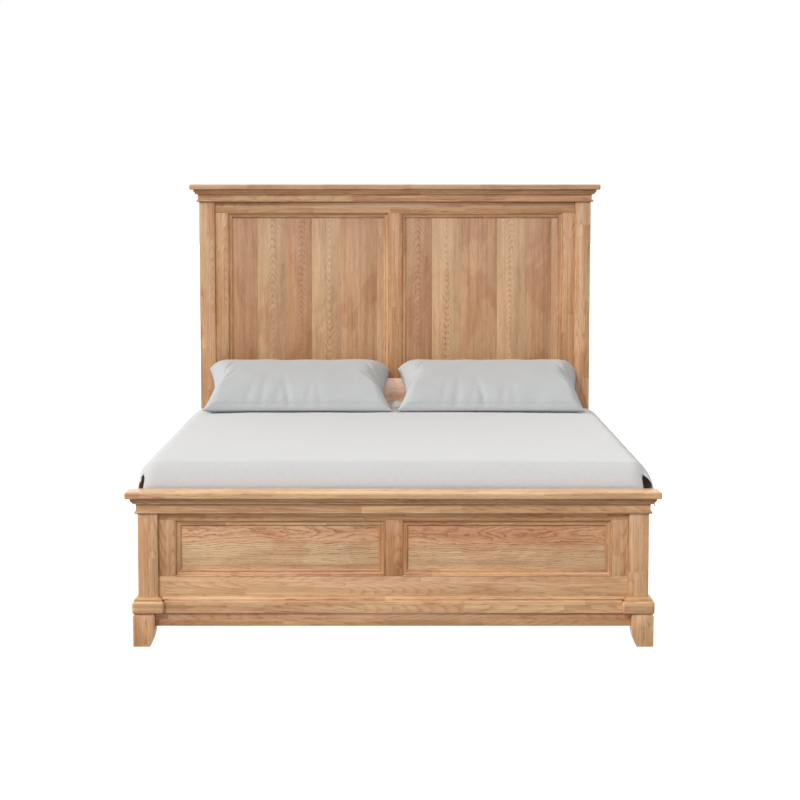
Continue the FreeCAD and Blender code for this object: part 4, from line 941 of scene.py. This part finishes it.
def studio():
    """A white floor under a pale sky that is brighter overhead and on the left, and five soft lamps.

    Key, fill and side light the bed. The floor has a lamp of its own that casts no shadow, as a lit sweep
    in a photographer's studio has, and the lower half of the sky lights the bed as a floor in soft shade
    would. The gap lamp lights only the headboard's bottom rail, which the others don't reach between the
    pillows.
    """
    scene = bpy.context.scene
    reach = 60.0
    floor_mesh = bpy.data.meshes.new("studio_floor")
    corners = [(-reach, -reach, 0), (reach, -reach, 0), (reach, reach, 0), (-reach, reach, 0)]
    floor_mesh.from_pydata(corners, [], [(0, 1, 2, 3)])
    floor = bpy.data.objects.new("studio_floor", floor_mesh)
    scene.collection.objects.link(floor)
    floor.visible_diffuse = False
    floor.visible_glossy = False
    floor.visible_shadow = False
    paint, shader = new_material("studio_floor_white_paint", 0.9, Specular_IOR_Level=0.0)
    shader.inputs["Base Color"].default_value = linear("FAFAFA")
    floor_mesh.materials.append(paint)

    world = bpy.data.worlds.new("studio_sky")
    scene.world = world
    world.use_nodes = True
    sky = world.node_tree.nodes["Background"]
    sky.inputs["Color"].default_value = (1.0, 1.0, 1.0, 1.0)
    where = add(world, "TexCoord")
    heading = add(world, "SeparateXYZ", [where.outputs["Generated"]])
    by_height = add(world, "MapRange", {"Value": heading.outputs[2], "From Min": -0.15, "From Max": 0.50,
                                        "To Min": SKY_BELOW, "To Max": SKY_ABOVE},
                    interpolation_type="SMOOTHSTEP")
    by_side = add(world, "MapRange", {"Value": heading.outputs[0], "From Min": 0.3, "From Max": -1.0,
                                      "To Max": SKY_FROM_LEFT})
    by_depth = add(world, "MapRange", {"Value": heading.outputs[1], "From Min": 0.3, "From Max": 1.0,
                                       "To Max": SKY_BEHIND})
    sides = add(world, "Math ADD", [by_height, by_side])
    lit = add(world, "Math ADD", [sides, by_depth])
    seen = add(world, "LightPath")
    strength = add(world, "Mix", {0: seen.outputs["Is Camera Ray"], 2: lit, 3: 1.0})
    world.node_tree.links.new(strength.outputs[0], sky.inputs["Strength"])

    lit_by = ("bed_lamps", "floor_lamp", "gap_lamp")
    receivers = {lamp: bpy.data.collections.new("lit_by_" + lamp) for lamp in lit_by}
    receivers["bed_lamps"].objects.link(floor)
    receivers["bed_lamps"].collection_objects[0].light_linking.link_state = "EXCLUDE"
    receivers["floor_lamp"].objects.link(floor)
    receivers["gap_lamp"].objects.link(bpy.data.objects["headboard_bottom_rail_sanded"])
    for name, power, width, aim in LAMPS:
        data = bpy.data.lights.new(name, "SUN")
        data.energy = power
        data.angle = math.radians(width)
        data.use_shadow = name not in receivers
        data.specular_factor = 0.0 if name in receivers else 1.0
        lamp = bpy.data.objects.new(name, data)
        scene.collection.objects.link(lamp)
        lamp.rotation_euler = Vector(aim).to_track_quat("-Z", "Y").to_euler()
        lamp.light_linking.receiver_collection = receivers.get(name, receivers["bed_lamps"])


studio()

camera_data = bpy.data.cameras.new("camera")
camera_data.lens = CAMERA_LENS
camera_data.sensor_width = 36.0
camera_data.clip_end = 200.0
camera = bpy.data.objects.new("camera", camera_data)
camera.location = CAMERA_AT
camera.rotation_euler = (math.radians(90 - CAMERA_DOWN), 0.0, 0.0)
bpy.context.scene.collection.objects.link(camera)
bpy.context.scene.camera = camera
bpy.context.scene.view_settings.view_transform = "Standard"
